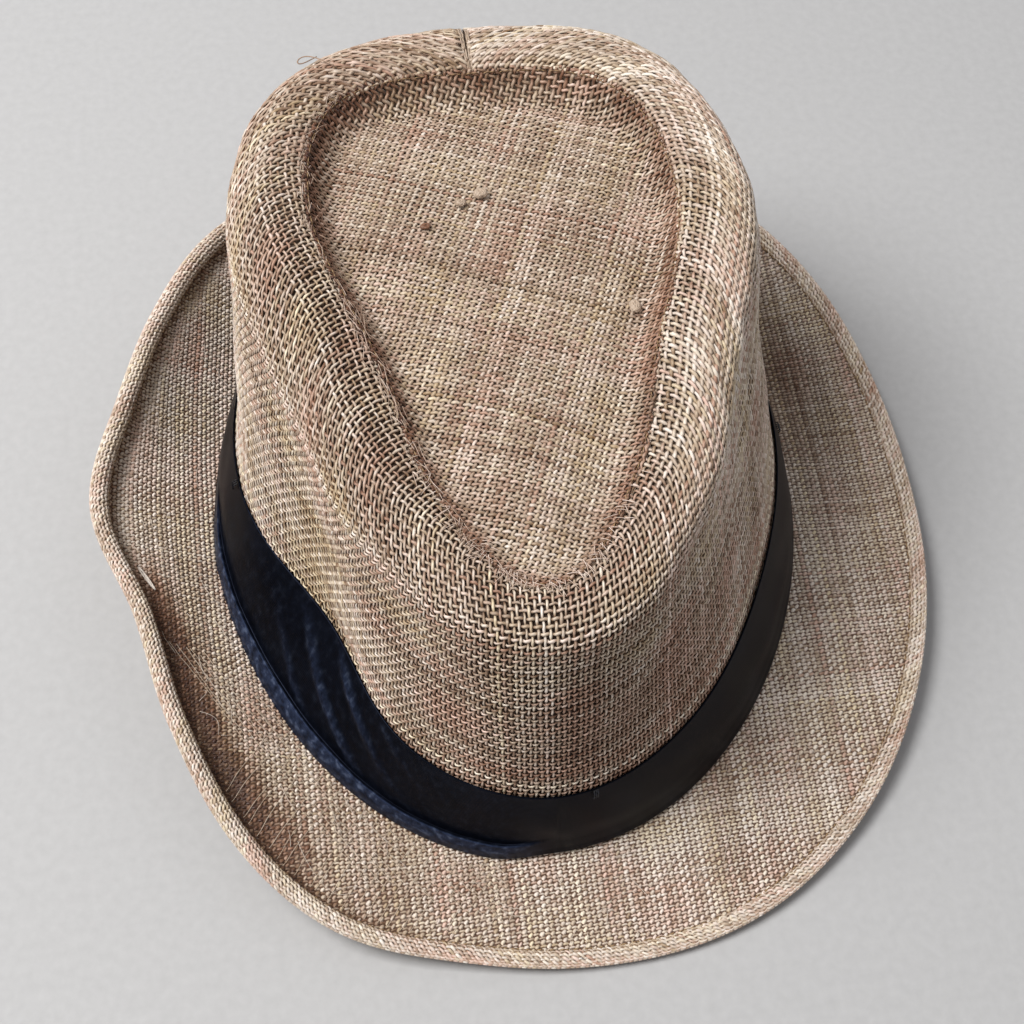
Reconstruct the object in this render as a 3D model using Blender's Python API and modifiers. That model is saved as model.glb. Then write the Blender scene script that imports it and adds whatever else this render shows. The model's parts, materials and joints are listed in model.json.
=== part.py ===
"""A woven paper-straw trilby hat with a black satin band, as separate sewn pieces.

The hat stands on its brim with its front towards -Y and +Z up. The head opening is an oval, and
every piece is a section that is carried round that oval. A turn is a fraction of the way round:
0 is the front, 0.25 is the +X side, 0.5 is the back. Lengths below are in millimetres.
"""

import math

import bmesh
import bpy
from mathutils import Vector

MM = 0.001
STATIONS = 48  # sections round the head
GAP = 0.3  # clearance between sewn neighbours
CENTRE_SHIFT = (-2.07, 3.93, 0.26)  # stands the hat on the surface with its brim centred

# Head oval, and the height of the seam between crown and brim above the surface.
HEAD_HALF_LENGTH = 103.5
HEAD_HALF_WIDTH = 83.5
HEAD_EGG = 0.03
SEAM_FRONT = 1.3
SEAM_BACK = 0.6
SEAM_SIDE = 12.8

# Cloth thicknesses.
STRAW = 1.2
BINDING_CLOTH = 0.8
SATIN = 1.0
LINING_TAPE = 0.8

# Heights above the seam where every upright piece has a loop, so that neighbours stay parallel.
WALL_STEPS = (5.0, 9.5, 14.0, 21.0)

# Crown. Station lists run from the front to the back, every 30 degrees, and mirror.
WALL_BOTTOM = 2.2
BAND_TOP = 28.2
WALL_INSETS = (5.5, 8.0, 10.0, 7.5, 6.0, 4.5, 4.0)
WALL_CURVE = 1.3  # power of the height by which the wall leans in
DENT_DEPTH = 9.0  # soft dent in the wall at one front corner
DENT_TURN = 0.835
DENT_SPREAD = 0.055
CREST_CENTRE = (-2.0, 5.0)
CREST_RADII = (83.0, 65.0, 52.0, 54.5, 67.0, 82.0, 81.0)
CREST_HEIGHT = 112.4
CREST_TILT = 8.0
CREST_SADDLE = 4.0
CREST_STEP = 0.03  # turns to either side that give the ridge its direction
RIDGE_RADIUS = 10.0
# How far in from the crest the wall strip ends, all the way round from the front, every 30 degrees.
SEAM_INSETS = (6.0, 9.0, 11.0, 11.0, 10.0, 8.0, 8.0, 7.0, 11.0, 14.0, 13.5, 10.5)
SEAM_SHARE = 0.2  # share of the groove's depth that is reached before the seam
SLOPE_WIDTH = 6.5  # the steep part beyond the seam
GROOVE_DEPTH = 12.0
GROOVE_DEPTH_FRONT = 3.5
SEAM_LAP = 5.0  # how far the top panel reaches out under the wall strip
LAP_BELOW = 2.3  # how far below the strip's outer face it lies there
TIP_DOME = 5.0
TIP_HEIGHT = 106.0

# Brim. The widths mirror; the other lists run all the way round, every 15 or 30 degrees.
BRIM_WIDTHS = (35.0, 40.5, 42.5, 42.5, 41.0, 38.5, 36.0)
BRIM_TRIM = (
    -2.0, -0.5, 0.3, 0.8, 0.0, -1.5, -3.6, -3.6, -1.6, -0.5, 0.0, 0.0,
    0.0, 0.0, 0.0, 0.8, -0.8, -2.0, 0.0, -6.6, -5.4, -3.4, -2.6, -4.2,
)
EDGE_HEIGHTS = (2.0, 3.0, 8.0, 12.0, 17.0, 25.0, 27.0, 32.0, 40.0, 38.0, 29.0, 9.0)
BRIM_CURL = math.radians(12)
COLLAR_HEIGHT = 9.5
COLLAR_BOTTOM = 1.6

# Edge binding with the wire inside it.
BINDING_REACH = 7.0
BINDING_CAVITY = 1.0
WIRE_RADIUS = 0.6
WIRE_INSET = 1.8
BRIM_STOP = 2.8

# Bands, tapes and threads.
BAND_BOTTOM = 2.6
BAND_GAP = 0.6
SWEATBAND_HEIGHT = 29.0
SWEATBAND_BOTTOM = 0.4
TAB_WIDTH = 12.0
THREAD_RADIUS = 0.25
TACK_TURNS = {"front": 0.02, "plus_x": 0.25, "back": 0.46, "minus_x": 0.75}
TACK_LENGTH = 2.4
TACK_WIDTH = 0.8


def wave(values, turn):
    """Smooth value at a turn through values that are equally spaced round the head."""
    count = len(values)
    place = (turn % 1.0) * count
    first = math.floor(place)
    part = place - first
    a, b, c, d = (values[(first + step) % count] for step in (-1, 0, 1, 2))
    bend = 2 * a - 5 * b + 4 * c - d + part * (3 * (b - c) + d - a)
    return b + 0.5 * part * (c - a + part * bend)


def mirrored(half):
    """A full ring of station values from the values of one side, front to back."""
    return half + half[-2:0:-1]


def turn_apart(turn, other):
    """How far two turns are from each other, as a fraction of a turn."""
    apart = (turn - other) % 1.0
    return min(apart, 1.0 - apart)


def oval(turn):
    """Point of the head oval and the direction out of it, both flat."""
    angle = math.tau * turn
    widest = HEAD_HALF_WIDTH * (1 - HEAD_EGG * math.cos(angle))
    point = Vector((widest * math.sin(angle), -HEAD_HALF_LENGTH * math.cos(angle), 0))
    slope = HEAD_HALF_WIDTH * (math.cos(angle) - HEAD_EGG * math.cos(2 * angle))
    out = Vector((HEAD_HALF_LENGTH * math.sin(angle), -slope, 0)).normalized()
    return point, out


def seam_height(turn):
    """Height of the seam line: low at the front and back, high at the sides."""
    front_share = (1 + math.cos(math.tau * turn)) / 2
    ends = SEAM_BACK + (SEAM_FRONT - SEAM_BACK) * front_share
    return ends + (SEAM_SIDE - ends) * math.sin(math.tau * turn) ** 2


def wall_inset(turn, height):
    """How far the crown's outer face leans inwards at a height above the seam."""
    dent = DENT_DEPTH * math.exp(-((turn_apart(turn, DENT_TURN) / DENT_SPREAD) ** 2))
    return (wave(mirrored(WALL_INSETS), turn) + dent) * (height / BAND_TOP) ** WALL_CURVE


def wall_point(turn, height, proud):
    """Point beside the crown wall, proud of its outer face by a distance square to the face."""
    point, out = oval(turn)
    inset = wall_inset(turn, height)
    slope = WALL_CURVE * inset / height
    point = point + out * (proud * math.hypot(1, slope) - inset)
    return point + Vector((0, 0, seam_height(turn) + height))


def heights_between(low, high):
    """The two end heights with the shared steps between them."""
    return [low] + [height for height in WALL_STEPS if low < height < high] + [high]


def crest_top(turn):
    """Top of the crown's ridge, a teardrop in plan that falls towards the front."""
    angle = math.tau * turn
    radius = wave(mirrored(CREST_RADII), turn)
    height = CREST_HEIGHT - CREST_TILT * math.cos(angle) - CREST_SADDLE * math.cos(2 * angle)
    middle = Vector((*CREST_CENTRE, height))
    return middle + Vector((math.sin(angle), -math.cos(angle), 0)) * radius


def crest(turn):
    """Top of the ridge and the flat direction square to it, out of the crown."""
    ahead = crest_top(turn + CREST_STEP) - crest_top(turn - CREST_STEP)
    return crest_top(turn), Vector((ahead.y, -ahead.x, 0)).normalized()


def ridge_point(turn, bend):
    """Point on the rounded ridge: bend is 0 at its outer side and 180 degrees at its inner."""
    top, out = crest(turn)
    middle = top - Vector((0, 0, RIDGE_RADIUS))
    return middle + (out * math.cos(bend) + Vector((0, 0, math.sin(bend)))) * RIDGE_RADIUS


def ease(value, low, high):
    """0 below low, 1 above high, and smooth between them."""
    share = min(max((value - low) / (high - low), 0.0), 1.0)
    return share * share * (3 - 2 * share)


def slope_point(turn, past, below):
    """Point on the slope inside the crest, past the seam by a distance, or straight below it."""
    top, out = crest(turn)
    front_share = max(0.0, math.cos(math.tau * turn))
    depth = GROOVE_DEPTH + (GROOVE_DEPTH_FRONT - GROOVE_DEPTH) * front_share
    seam = wave(SEAM_INSETS, turn)
    gentle = SEAM_SHARE * (ease(1 + past / seam, -0.1, 1.1) - ease(0, -0.1, 1.1))
    steep = (1 - SEAM_SHARE) * ease(past / SLOPE_WIDTH, -0.25, 1)
    return top - out * (seam + past) - Vector((0, 0, depth * (gentle + steep) + below))


def brim_width(turn):
    """Width of the brim from the seam to its edge, which isn't cut quite evenly."""
    return wave(mirrored(BRIM_WIDTHS), turn) + wave(BRIM_TRIM, turn)


def brim_point(turn, along, above):
    """Point above the middle of the brim cloth, at a distance along it from the seam."""
    point, out = oval(turn)
    width = brim_width(turn)
    seam = seam_height(turn)
    curl = BRIM_CURL * (0.02 + min(0.98, 1.6 * math.sin(math.pi * turn) ** 2))
    lift = math.asin((wave(EDGE_HEIGHTS, turn) - seam) / width)
    start = lift - curl
    curve = 2 * curl / width
    here = start + curve * along
    reach = (math.sin(here) - math.sin(start)) / curve - above * math.sin(here)
    rise = (math.cos(start) - math.cos(here)) / curve + above * math.cos(here)
    return point + out * reach + Vector((0, 0, seam + rise))


def ring(place):
    """One loop round the head from a function of the turn."""
    return [place(station / STATIONS) for station in range(STATIONS)]


def material(name, colour, roughness, metallic=0.0):
    """A plain Principled finish."""
    made = bpy.data.materials.new(name)
    made.use_nodes = True
    shader = made.node_tree.nodes["Principled BSDF"]
    shader.inputs["Base Color"].default_value = (*colour, 1)
    shader.inputs["Roughness"].default_value = roughness
    shader.inputs["Metallic"].default_value = metallic
    made.diffuse_color = (*colour, 1)
    return made


def add_rings(mesh, rings, close_section):
    """Faces between neighbouring loops, and back to the first loop for a closed section."""
    loops = [[mesh.verts.new(point * MM) for point in points] for points in rings]
    pairs = list(zip(loops, loops[1:]))
    if close_section:
        pairs.append((loops[-1], loops[0]))
    for low, high in pairs:
        for index in range(len(low)):
            after = (index + 1) % len(low)
            mesh.faces.new((low[index], low[after], high[after], high[index]))
    return loops


def add_plate(mesh, columns):
    """A closed solid from a row of flat sections with the same number of corners."""
    sections = [[mesh.verts.new(point * MM) for point in column] for column in columns]
    for near, far in zip(sections, sections[1:]):
        for index in range(len(near)):
            after = (index + 1) % len(near)
            mesh.faces.new((near[index], near[after], far[after], far[index]))
    mesh.faces.new(sections[0])
    mesh.faces.new(sections[-1][::-1])


def finish(mesh, name, finish_of, group, stand, thickness=None):
    """Turns a bmesh into a named object on the stand, thickened inwards where asked."""
    if thickness is None:
        bmesh.ops.recalc_face_normals(mesh, faces=mesh.faces)
    data = bpy.data.meshes.new(name)
    mesh.to_mesh(data)
    mesh.free()
    data.shade_smooth()
    data.set_sharp_from_angle(angle=math.radians(40))
    data.materials.append(finish_of)
    piece = bpy.data.objects.new(name, data)
    group.objects.link(piece)
    piece.parent = stand
    if thickness is not None:
        shell = piece.modifiers.new("cloth thickness", "SOLIDIFY")
        shell.thickness = thickness * MM
        shell.offset = -1
        shell.use_even_offset = True
    return piece


def crown_side(straw, group, stand):
    """The wall strip, which rolls over the ridge and ends in the seam on its inner slope."""
    heights = heights_between(WALL_BOTTOM, BAND_TOP)
    rings = [ring(lambda turn, h=height: wall_point(turn, h, 0)) for height in heights]
    for share in (0.33, 0.67):
        rings.append(ring(lambda turn, s=share: wall_point(turn, BAND_TOP, 0).lerp(ridge_point(turn, 0), s)))
    for degrees in (0, 30, 60, 90):
        rings.append(ring(lambda turn, d=degrees: ridge_point(turn, math.radians(d))))
    for share in (0.5, 0.0):
        rings.append(ring(lambda turn, s=share: slope_point(turn, -s * wave(SEAM_INSETS, turn), 0)))
    mesh = bmesh.new()
    add_rings(mesh, rings, close_section=False)
    return finish(mesh, "crown_side", straw, group, stand, STRAW)


def crown_tip(straw, group, stand):
    """The sunken top panel, whose rim reaches out under the wall strip."""
    middle = Vector((*CREST_CENTRE, TIP_HEIGHT))
    stations = ((-SEAM_LAP, LAP_BELOW + 0.7), (-1.5, LAP_BELOW), (0.8, 1.9), (3.5, 0.7), (SLOPE_WIDTH, 0))
    rings = [ring(lambda turn, p=past, b=below: slope_point(turn, p, b)) for past, below in stations]
    for share in (0.2, 0.45, 0.75):
        lift = Vector((0, 0, TIP_DOME * math.sin(math.pi * share / 2) * (1 - share)))
        rings.append(ring(lambda turn, s=share, up=lift: slope_point(turn, SLOPE_WIDTH, 0).lerp(middle, s) + up))
    mesh = bmesh.new()
    loops = add_rings(mesh, rings, close_section=False)
    centre = mesh.verts.new(middle * MM)
    inner = loops[-1]
    for index in range(STATIONS):
        mesh.faces.new((inner[index], inner[(index + 1) % STATIONS], centre))
    return finish(mesh, "crown_tip", straw, group, stand, STRAW)


def brim(straw, group, stand):
    """The brim ring, with a collar that stands up inside the crown as its seam allowance."""
    half = STRAW / 2
    inside = -(STRAW + GAP)
    heights = heights_between(COLLAR_BOTTOM, COLLAR_HEIGHT)[::-1]
    rings = [ring(lambda turn, h=height: wall_point(turn, h, inside)) for height in heights]
    rings.append(ring(lambda turn: wall_point(turn, half, inside + 0.9)))
    rings.append(ring(lambda turn: wall_point(turn, half, 0)))
    for share in (0.06, 0.2, 0.4, 0.6, 0.8, 1.0):
        rings.append(ring(lambda turn, s=share: brim_point(turn, s * (brim_width(turn) - BRIM_STOP), half)))
    mesh = bmesh.new()
    add_rings(mesh, rings[::-1], close_section=False)
    return finish(mesh, "brim", straw, group, stand, STRAW)


def edge_ring(inset, above):
    """A loop beside the brim's edge, at a distance in from the edge and above the cloth."""
    return ring(lambda turn: brim_point(turn, brim_width(turn) - inset, above))


def brim_binding(straw, group, stand):
    """A folded strip that wraps the brim's edge, top and bottom, with room for the wire."""
    hollow = BINDING_CAVITY
    skin = hollow + BINDING_CLOTH
    section = (
        (BINDING_REACH, hollow), (1.5, hollow), (0.9, 0), (1.5, -hollow), (BINDING_REACH, -hollow),
        (BINDING_REACH, -skin), (1.0, -skin), (0, -0.9), (0, 0.9), (1.0, skin), (BINDING_REACH, skin),
    )
    mesh = bmesh.new()
    add_rings(mesh, [edge_ring(inset, above) for inset, above in section], close_section=True)
    return finish(mesh, "brim_binding", straw, group, stand)


def round_section(radius, sides):
    """Corners of a thin round section."""
    angles = [math.tau * side / sides for side in range(sides)]
    return [(radius * math.cos(angle), radius * math.sin(angle)) for angle in angles]


def brim_wire(steel, group, stand):
    """The springy wire that keeps the brim's curl."""
    mesh = bmesh.new()
    rings = [edge_ring(WIRE_INSET + x, y) for x, y in round_section(WIRE_RADIUS, 6)]
    add_rings(mesh, rings, close_section=True)
    return finish(mesh, "brim_wire", steel, group, stand)


def binding_thread(thread, group, stand):
    """The sewing line that holds the binding, near its inner edge."""
    above = BINDING_CAVITY + BINDING_CLOTH + GAP + THREAD_RADIUS
    inset = BINDING_REACH - 1.2
    mesh = bmesh.new()
    rings = [edge_ring(inset + x, above + y) for x, y in round_section(THREAD_RADIUS, 4)]
    add_rings(mesh, rings, close_section=True)
    return finish(mesh, "binding_thread", thread, group, stand)


def upright_band(name, finish_of, group, stand, heights, inner, outer):
    """A band that stands against the crown wall between two distances from its outer face."""
    mesh = bmesh.new()
    rings = [ring(lambda turn, h=height: wall_point(turn, h, outer)) for height in heights]
    rings += [ring(lambda turn, h=height: wall_point(turn, h, inner)) for height in heights[::-1]]
    add_rings(mesh, rings, close_section=True)
    return finish(mesh, name, finish_of, group, stand)


def upright_tab(mesh, turn, width, heights, inner, outer):
    """A small plate that lies along the crown wall, centred on a turn."""
    spread = width / (math.pi * (HEAD_HALF_LENGTH + HEAD_HALF_WIDTH)) / 2
    columns = []
    for place in (turn - spread, turn, turn + spread):
        corners = [(height, inner) for height in heights] + [(height, outer) for height in heights[::-1]]
        columns.append([wall_point(place, height, proud) for height, proud in corners])
    add_plate(mesh, columns)


def lining_pieces(tape, thread, group, stand):
    """The sweatband inside the head opening, the tab over its join, and its sewing line."""
    outer = -(STRAW + GAP + STRAW + GAP)
    inner = outer - LINING_TAPE
    heights = heights_between(SWEATBAND_BOTTOM, SWEATBAND_HEIGHT)
    upright_band("sweatband", tape, group, stand, heights, inner, outer)

    mesh = bmesh.new()
    face = inner - GAP - 0.2
    heights = heights_between(3.0, SWEATBAND_HEIGHT - 1)
    upright_tab(mesh, 0.5, TAB_WIDTH, heights, face - LINING_TAPE, face)
    finish(mesh, "sweatband_join", tape, group, stand)

    mesh = bmesh.new()
    line = inner - GAP - THREAD_RADIUS
    height = SWEATBAND_BOTTOM + 1.6
    section = round_section(THREAD_RADIUS, 4)
    rings = [ring(lambda turn, x=x, y=y: wall_point(turn, height + y, line + x)) for x, y in section]
    add_rings(mesh, rings, close_section=True)
    finish(mesh, "sweatband_thread", thread, group, stand)


def hat_band_pieces(satin, thread, group, stand):
    """The satin band round the crown, the tab over its join at the back, and four tacks."""
    outer = BAND_GAP + SATIN
    heights = heights_between(BAND_BOTTOM, BAND_TOP)
    upright_band("hat_band", satin, group, stand, heights, BAND_GAP, outer)

    mesh = bmesh.new()
    face = outer + GAP + 0.2
    upright_tab(mesh, 0.5, TAB_WIDTH, heights_between(BAND_BOTTOM + 1, BAND_TOP), face, face + SATIN)
    finish(mesh, "band_tab", satin, group, stand)

    low = BAND_TOP - 1 - TACK_LENGTH
    for side, turn in TACK_TURNS.items():
        mesh = bmesh.new()
        upright_tab(mesh, turn, TACK_WIDTH, (low, low + TACK_LENGTH), outer + GAP, outer + GAP + 0.5)
        finish(mesh, "band_tack_" + side, thread, group, stand)


def seam_thread(thread, group, stand):
    """The sewing line beside the end of the wall strip, on the top panel."""
    mesh = bmesh.new()
    rings = []
    for x, y in round_section(THREAD_RADIUS, 4):
        rings.append(ring(lambda turn, x=x, y=y: slope_point(turn, 0.8 + x, 0.5 - y)))
    add_rings(mesh, rings, close_section=True)
    return finish(mesh, "tip_seam_thread", thread, group, stand)


def main():
    """Clears the file and makes every piece of the hat."""
    for old in list(bpy.data.objects):
        bpy.data.objects.remove(old)
    group = bpy.data.collections.new("woven_trilby_hat")
    bpy.context.scene.collection.children.link(group)
    stand = bpy.data.objects.new("hat_centre", None)
    group.objects.link(stand)
    stand.location = Vector(CENTRE_SHIFT) * MM

    straw = material("woven paper straw", (0.46, 0.32, 0.19), 0.6)
    satin = material("black polyester satin", (0.006, 0.007, 0.012), 0.35)
    tape = material("cotton tape", (0.42, 0.33, 0.22), 0.85)
    steel = material("spring steel wire", (0.45, 0.45, 0.46), 0.35, 1.0)
    thread = material("sewing thread", (0.38, 0.27, 0.16), 0.7)

    crown_side(straw, group, stand)
    crown_tip(straw, group, stand)
    seam_thread(thread, group, stand)
    brim(straw, group, stand)
    brim_binding(straw, group, stand)
    brim_wire(steel, group, stand)
    binding_thread(thread, group, stand)
    lining_pieces(tape, thread, group, stand)
    hat_band_pieces(satin, thread, group, stand)


main()
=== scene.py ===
# %% [markdown]
# # A woven paper-straw trilby with a black satin band
# The hat is built thread by thread. A flat cloth with a picture of a weave on it would look right
# only from far away, so the straw cloth here is made of real tubes that pass over and under each
# other. The CAD model says where every panel of the hat is, and this file dresses it.

# %% Load the frame that every piece is placed in
import json
import math

import bpy
import numpy as np
from mathutils import Matrix


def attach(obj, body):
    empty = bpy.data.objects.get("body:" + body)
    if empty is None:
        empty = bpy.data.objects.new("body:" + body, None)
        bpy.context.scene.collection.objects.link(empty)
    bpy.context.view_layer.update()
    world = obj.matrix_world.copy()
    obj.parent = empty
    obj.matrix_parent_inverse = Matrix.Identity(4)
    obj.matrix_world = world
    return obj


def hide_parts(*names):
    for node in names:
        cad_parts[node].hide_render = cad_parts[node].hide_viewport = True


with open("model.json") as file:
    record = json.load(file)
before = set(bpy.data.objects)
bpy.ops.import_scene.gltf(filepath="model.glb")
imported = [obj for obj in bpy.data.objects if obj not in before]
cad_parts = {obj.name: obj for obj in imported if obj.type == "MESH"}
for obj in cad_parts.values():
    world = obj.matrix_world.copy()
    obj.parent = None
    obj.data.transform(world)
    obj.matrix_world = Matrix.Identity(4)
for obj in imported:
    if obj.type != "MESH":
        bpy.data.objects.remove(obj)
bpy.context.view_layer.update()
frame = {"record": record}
MM = 0.001

# %% [markdown]
# ## The shape of the hat
# Every panel is a section that is carried round an oval, the head opening. A turn is a fraction
# of the way round: 0 is the front, 0.25 is the +X side, 0.5 is the back. The same numbers drive
# the CAD model, so the cloth below lies where its solid panel lies. Lengths are in millimetres.

# %% Where the head oval stands
mount = frame["record"]["mounts"][0]["pos_m"]
STAND_LIFT = 0.26
HEAD = np.array((mount[0] / MM, mount[1] / MM, STAND_LIFT))
HALF_LENGTH, HALF_WIDTH, EGG = 103.5, 83.5, 0.03
SEAM_FRONT, SEAM_BACK, SEAM_SIDE = 1.3, 0.6, 12.8
STRAW, GAP = 1.2, 0.3
print("head oval centre in mm:", HEAD.round(2).tolist())


# %% Small helpers for points in bulk
def unit(vectors):
    """The same directions with a length of one."""
    return vectors / np.linalg.norm(vectors, axis=-1, keepdims=True)


def point(x, y, z):
    """Points from their three coordinates, which may be arrays or plain numbers."""
    return np.stack(np.broadcast_arrays(x, y, z), axis=-1).astype(float)


def wave(values, turn):
    """Smooth value at a turn through values that are equally spaced round the head."""
    values = np.asarray(values, float)
    place = np.mod(turn, 1.0) * len(values)
    first = np.floor(place).astype(int)
    part = place - first
    a, b, c, d = (values[(first + step) % len(values)] for step in (-1, 0, 1, 2))
    bend = 2 * a - 5 * b + 4 * c - d + part * (3 * (b - c) + d - a)
    return b + 0.5 * part * (c - a + part * bend)


def mirrored(half):
    """A full ring of values from the values of one side, front to back."""
    return half + half[-2:0:-1]


def near(turn, centre, spread):
    """1 at one turn, falling smoothly to 0 on both sides of it."""
    apart = np.abs(np.mod(turn - centre + 0.5, 1.0) - 0.5)
    return np.exp(-((apart / spread) ** 2))


def ease(value, low, high):
    """0 below low, 1 above high, and smooth between them."""
    share = np.clip((value - low) / (high - low), 0, 1)
    return share * share * (3 - 2 * share)


# %% The head oval and the wall that stands on it
WALL_INSETS = mirrored((5.5, 8.0, 10.0, 7.5, 6.0, 4.5, 4.0))
WALL_CURVE, BAND_TOP, WALL_BOTTOM = 1.3, 28.2, 2.2
DENT_DEPTH, DENT_TURN, DENT_SPREAD = 9.0, 0.835, 0.055


def oval(turn):
    """Point of the head oval and the flat direction out of it."""
    angle = math.tau * np.asarray(turn, float)
    widest = HALF_WIDTH * (1 - EGG * np.cos(angle))
    slope = HALF_WIDTH * (np.cos(angle) - EGG * np.cos(2 * angle))
    out = unit(point(HALF_LENGTH * np.sin(angle), -slope, 0))
    return point(widest * np.sin(angle), -HALF_LENGTH * np.cos(angle), 0), out


def seam_height(turn):
    """Height of the seam between brim and crown: low at the ends, high at the sides."""
    angle = math.tau * np.asarray(turn, float)
    ends = SEAM_BACK + (SEAM_FRONT - SEAM_BACK) * (1 + np.cos(angle)) / 2
    return ends + (SEAM_SIDE - ends) * np.sin(angle) ** 2


def wall_point(turn, height, proud):
    """Point beside the crown wall, proud of its outer face, at a height above the seam."""
    place, out = oval(turn)
    dent = DENT_DEPTH * near(turn, DENT_TURN, DENT_SPREAD)
    inset = (wave(WALL_INSETS, turn) + dent) * (height / BAND_TOP) ** WALL_CURVE
    lean = np.hypot(1, WALL_CURVE * inset / height)
    place = place + out * (proud * lean - inset)[..., None]
    return place + point(0, 0, seam_height(turn) + height)


print("wall foot at the front in mm:", wall_point(np.zeros(1), 2.2, 0)[0].round(1).tolist())

# %% The teardrop crest, its ridge and the groove inside it
CREST_CENTRE = (-2.0, 5.0)
CREST_RADII = mirrored((83.0, 65.0, 52.0, 54.5, 67.0, 82.0, 81.0))
CREST_HEIGHT, CREST_TILT, CREST_SADDLE, CREST_STEP = 112.4, 8.0, 4.0, 0.03
RIDGE_RADIUS, GROOVE_DEPTH, GROOVE_FRONT = 10.0, 12.0, 3.5
TIP_DOME, TIP_HEIGHT = 5.0, 106.0


def crest_top(turn):
    """Top of the ridge, a teardrop in plan that falls towards the front."""
    angle = math.tau * np.asarray(turn, float)
    height = CREST_HEIGHT - CREST_TILT * np.cos(angle) - CREST_SADDLE * np.cos(2 * angle)
    radius = wave(CREST_RADII, turn)
    return point(CREST_CENTRE[0] + np.sin(angle) * radius, CREST_CENTRE[1] - np.cos(angle) * radius, height)


def crest_out(turn):
    """Flat direction square to the crest, out of the crown."""
    ahead = crest_top(turn + CREST_STEP) - crest_top(turn - CREST_STEP)
    return unit(point(ahead[..., 1], -ahead[..., 0], 0))


def ridge_point(turn, bend):
    """Point on the rounded ridge, from 0 at its outer side to 180 degrees at its inner."""
    spread = crest_out(turn) * math.cos(bend) + point(0, 0, math.sin(bend))
    return crest_top(turn) - point(0, 0, RIDGE_RADIUS) + spread * RIDGE_RADIUS


def groove_depth(turn):
    """Depth of the groove below the crest, shallow at the front."""
    front = np.maximum(0.0, np.cos(math.tau * np.asarray(turn, float)))
    return GROOVE_DEPTH + (GROOVE_FRONT - GROOVE_DEPTH) * front


# How far in from the crest the wall strip is sewn to the top panel, every 30 degrees.
SEAM_INSETS = (6.0, 9.0, 11.0, 11.0, 10.0, 8.0, 8.0, 7.0, 11.0, 14.0, 13.5, 10.5)
RIDGE_SHARE = 0.2  # how much of the groove's depth is reached before the seam
SLOPE_WIDTH = 6.5  # the steep part below the seam


def slope_drop(turn, inset):
    """How far the slope inside the crest has dropped: gently to the seam, then steeply."""
    seam = wave(SEAM_INSETS, turn)
    gentle = RIDGE_SHARE * ease(inset / seam, -0.1, 1.1)
    steep = (1 - RIDGE_SHARE) * ease((inset - seam) / SLOPE_WIDTH, -0.25, 1.0)
    return groove_depth(turn) * (gentle - RIDGE_SHARE * ease(0.0, -0.1, 1.1) + steep)


def inner_slope(turn, inset):
    """Point on the slope from the crest down into the groove, at a distance in from the crest."""
    inset = np.asarray(inset, float)
    return crest_top(turn) - crest_out(turn) * inset[..., None] - point(0, 0, slope_drop(turn, inset))


print("front of the ridge in mm:", crest_top(np.zeros(1))[0].round(1).tolist())

# %% The brim
BRIM_WIDTHS = mirrored((35.0, 40.5, 42.5, 42.5, 41.0, 38.5, 36.0))
BRIM_TRIM = (
    -2.0, -0.5, 0.3, 0.8, 0.0, -1.5, -3.6, -3.6, -1.6, -0.5, 0.0, 0.0,
    0.0, 0.0, 0.0, 0.8, -0.8, -2.0, 0.0, -6.6, -5.4, -3.4, -2.6, -4.2,
)
EDGE_HEIGHTS = (2.0, 3.0, 8.0, 12.0, 17.0, 25.0, 27.0, 32.0, 40.0, 38.0, 29.0, 9.0)
BRIM_CURL = math.radians(12)


def brim_width(turn):
    """Width from the seam to the edge, with the kink of the curled side."""
    return wave(BRIM_WIDTHS, turn) + wave(BRIM_TRIM, turn)


def brim_point(turn, along, above):
    """Point above the middle of the brim cloth, at a distance along it from the seam."""
    place, out = oval(turn)
    width, seam = brim_width(turn), seam_height(turn)
    curl = BRIM_CURL * (0.02 + np.minimum(0.98, 1.6 * np.sin(math.pi * turn) ** 2))
    start = np.arcsin((wave(EDGE_HEIGHTS, turn) - seam) / width) - curl
    curve = 2 * curl / width
    here = start + curve * along
    reach = (np.sin(here) - np.sin(start)) / curve - above * np.sin(here)
    rise = (np.cos(start) - np.cos(here)) / curve + above * np.cos(here)
    valley = -2.2 * rolled(turn) * np.exp(-(((width - along) - 8.0) / 4.0) ** 2)
    return place + out * reach[..., None] + point(0, 0, seam + rise + valley)


def rolled(turn):
    """How strongly the edge is rolled: 1 on the curled side, low at the front and on the other side."""
    side = np.mod(turn, 1.0)
    return 0.12 + 0.88 * ease(side, 0.5, 0.66) * (1 - ease(side, 0.9, 0.97))


print("brim width at the curled side in mm:", brim_width(np.array([0.75])).round(1))

# %% [markdown]
# ## Colours and one way to add a node
# Colours are written as the hex values a screen shows and turned into the linear values that
# light is computed with. A material is a small tree of nodes, and one function adds any node with
# its settings and its links, so each finish below reads as a short recipe.


# %% Colour and node helpers
def srgb(code):
    """Linear colour from a hex value such as #C8A97E."""
    parts = [int(code[i : i + 2], 16) / 255 for i in (1, 3, 5)]
    return (*[c / 12.92 if c <= 0.04045 else ((c + 0.055) / 1.055) ** 2.4 for c in parts], 1.0)


def add(tree, kind, inputs=None, stops=None, **settings):
    """Adds one node with its settings, then fills or links its inputs."""
    node = tree.nodes.new(kind)
    for name, value in settings.items():
        setattr(node, name, value)
    for number, (place, colour) in enumerate(stops or ()):
        ramp = node.color_ramp.elements
        element = ramp[number] if number < 2 else ramp.new(place)
        element.position, element.color = place, srgb(colour)
    for socket, value in (inputs or {}).items():
        if isinstance(value, bpy.types.NodeSocket):
            tree.links.new(value, node.inputs[socket])
        else:
            node.inputs[socket].default_value = value
    return node


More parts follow.
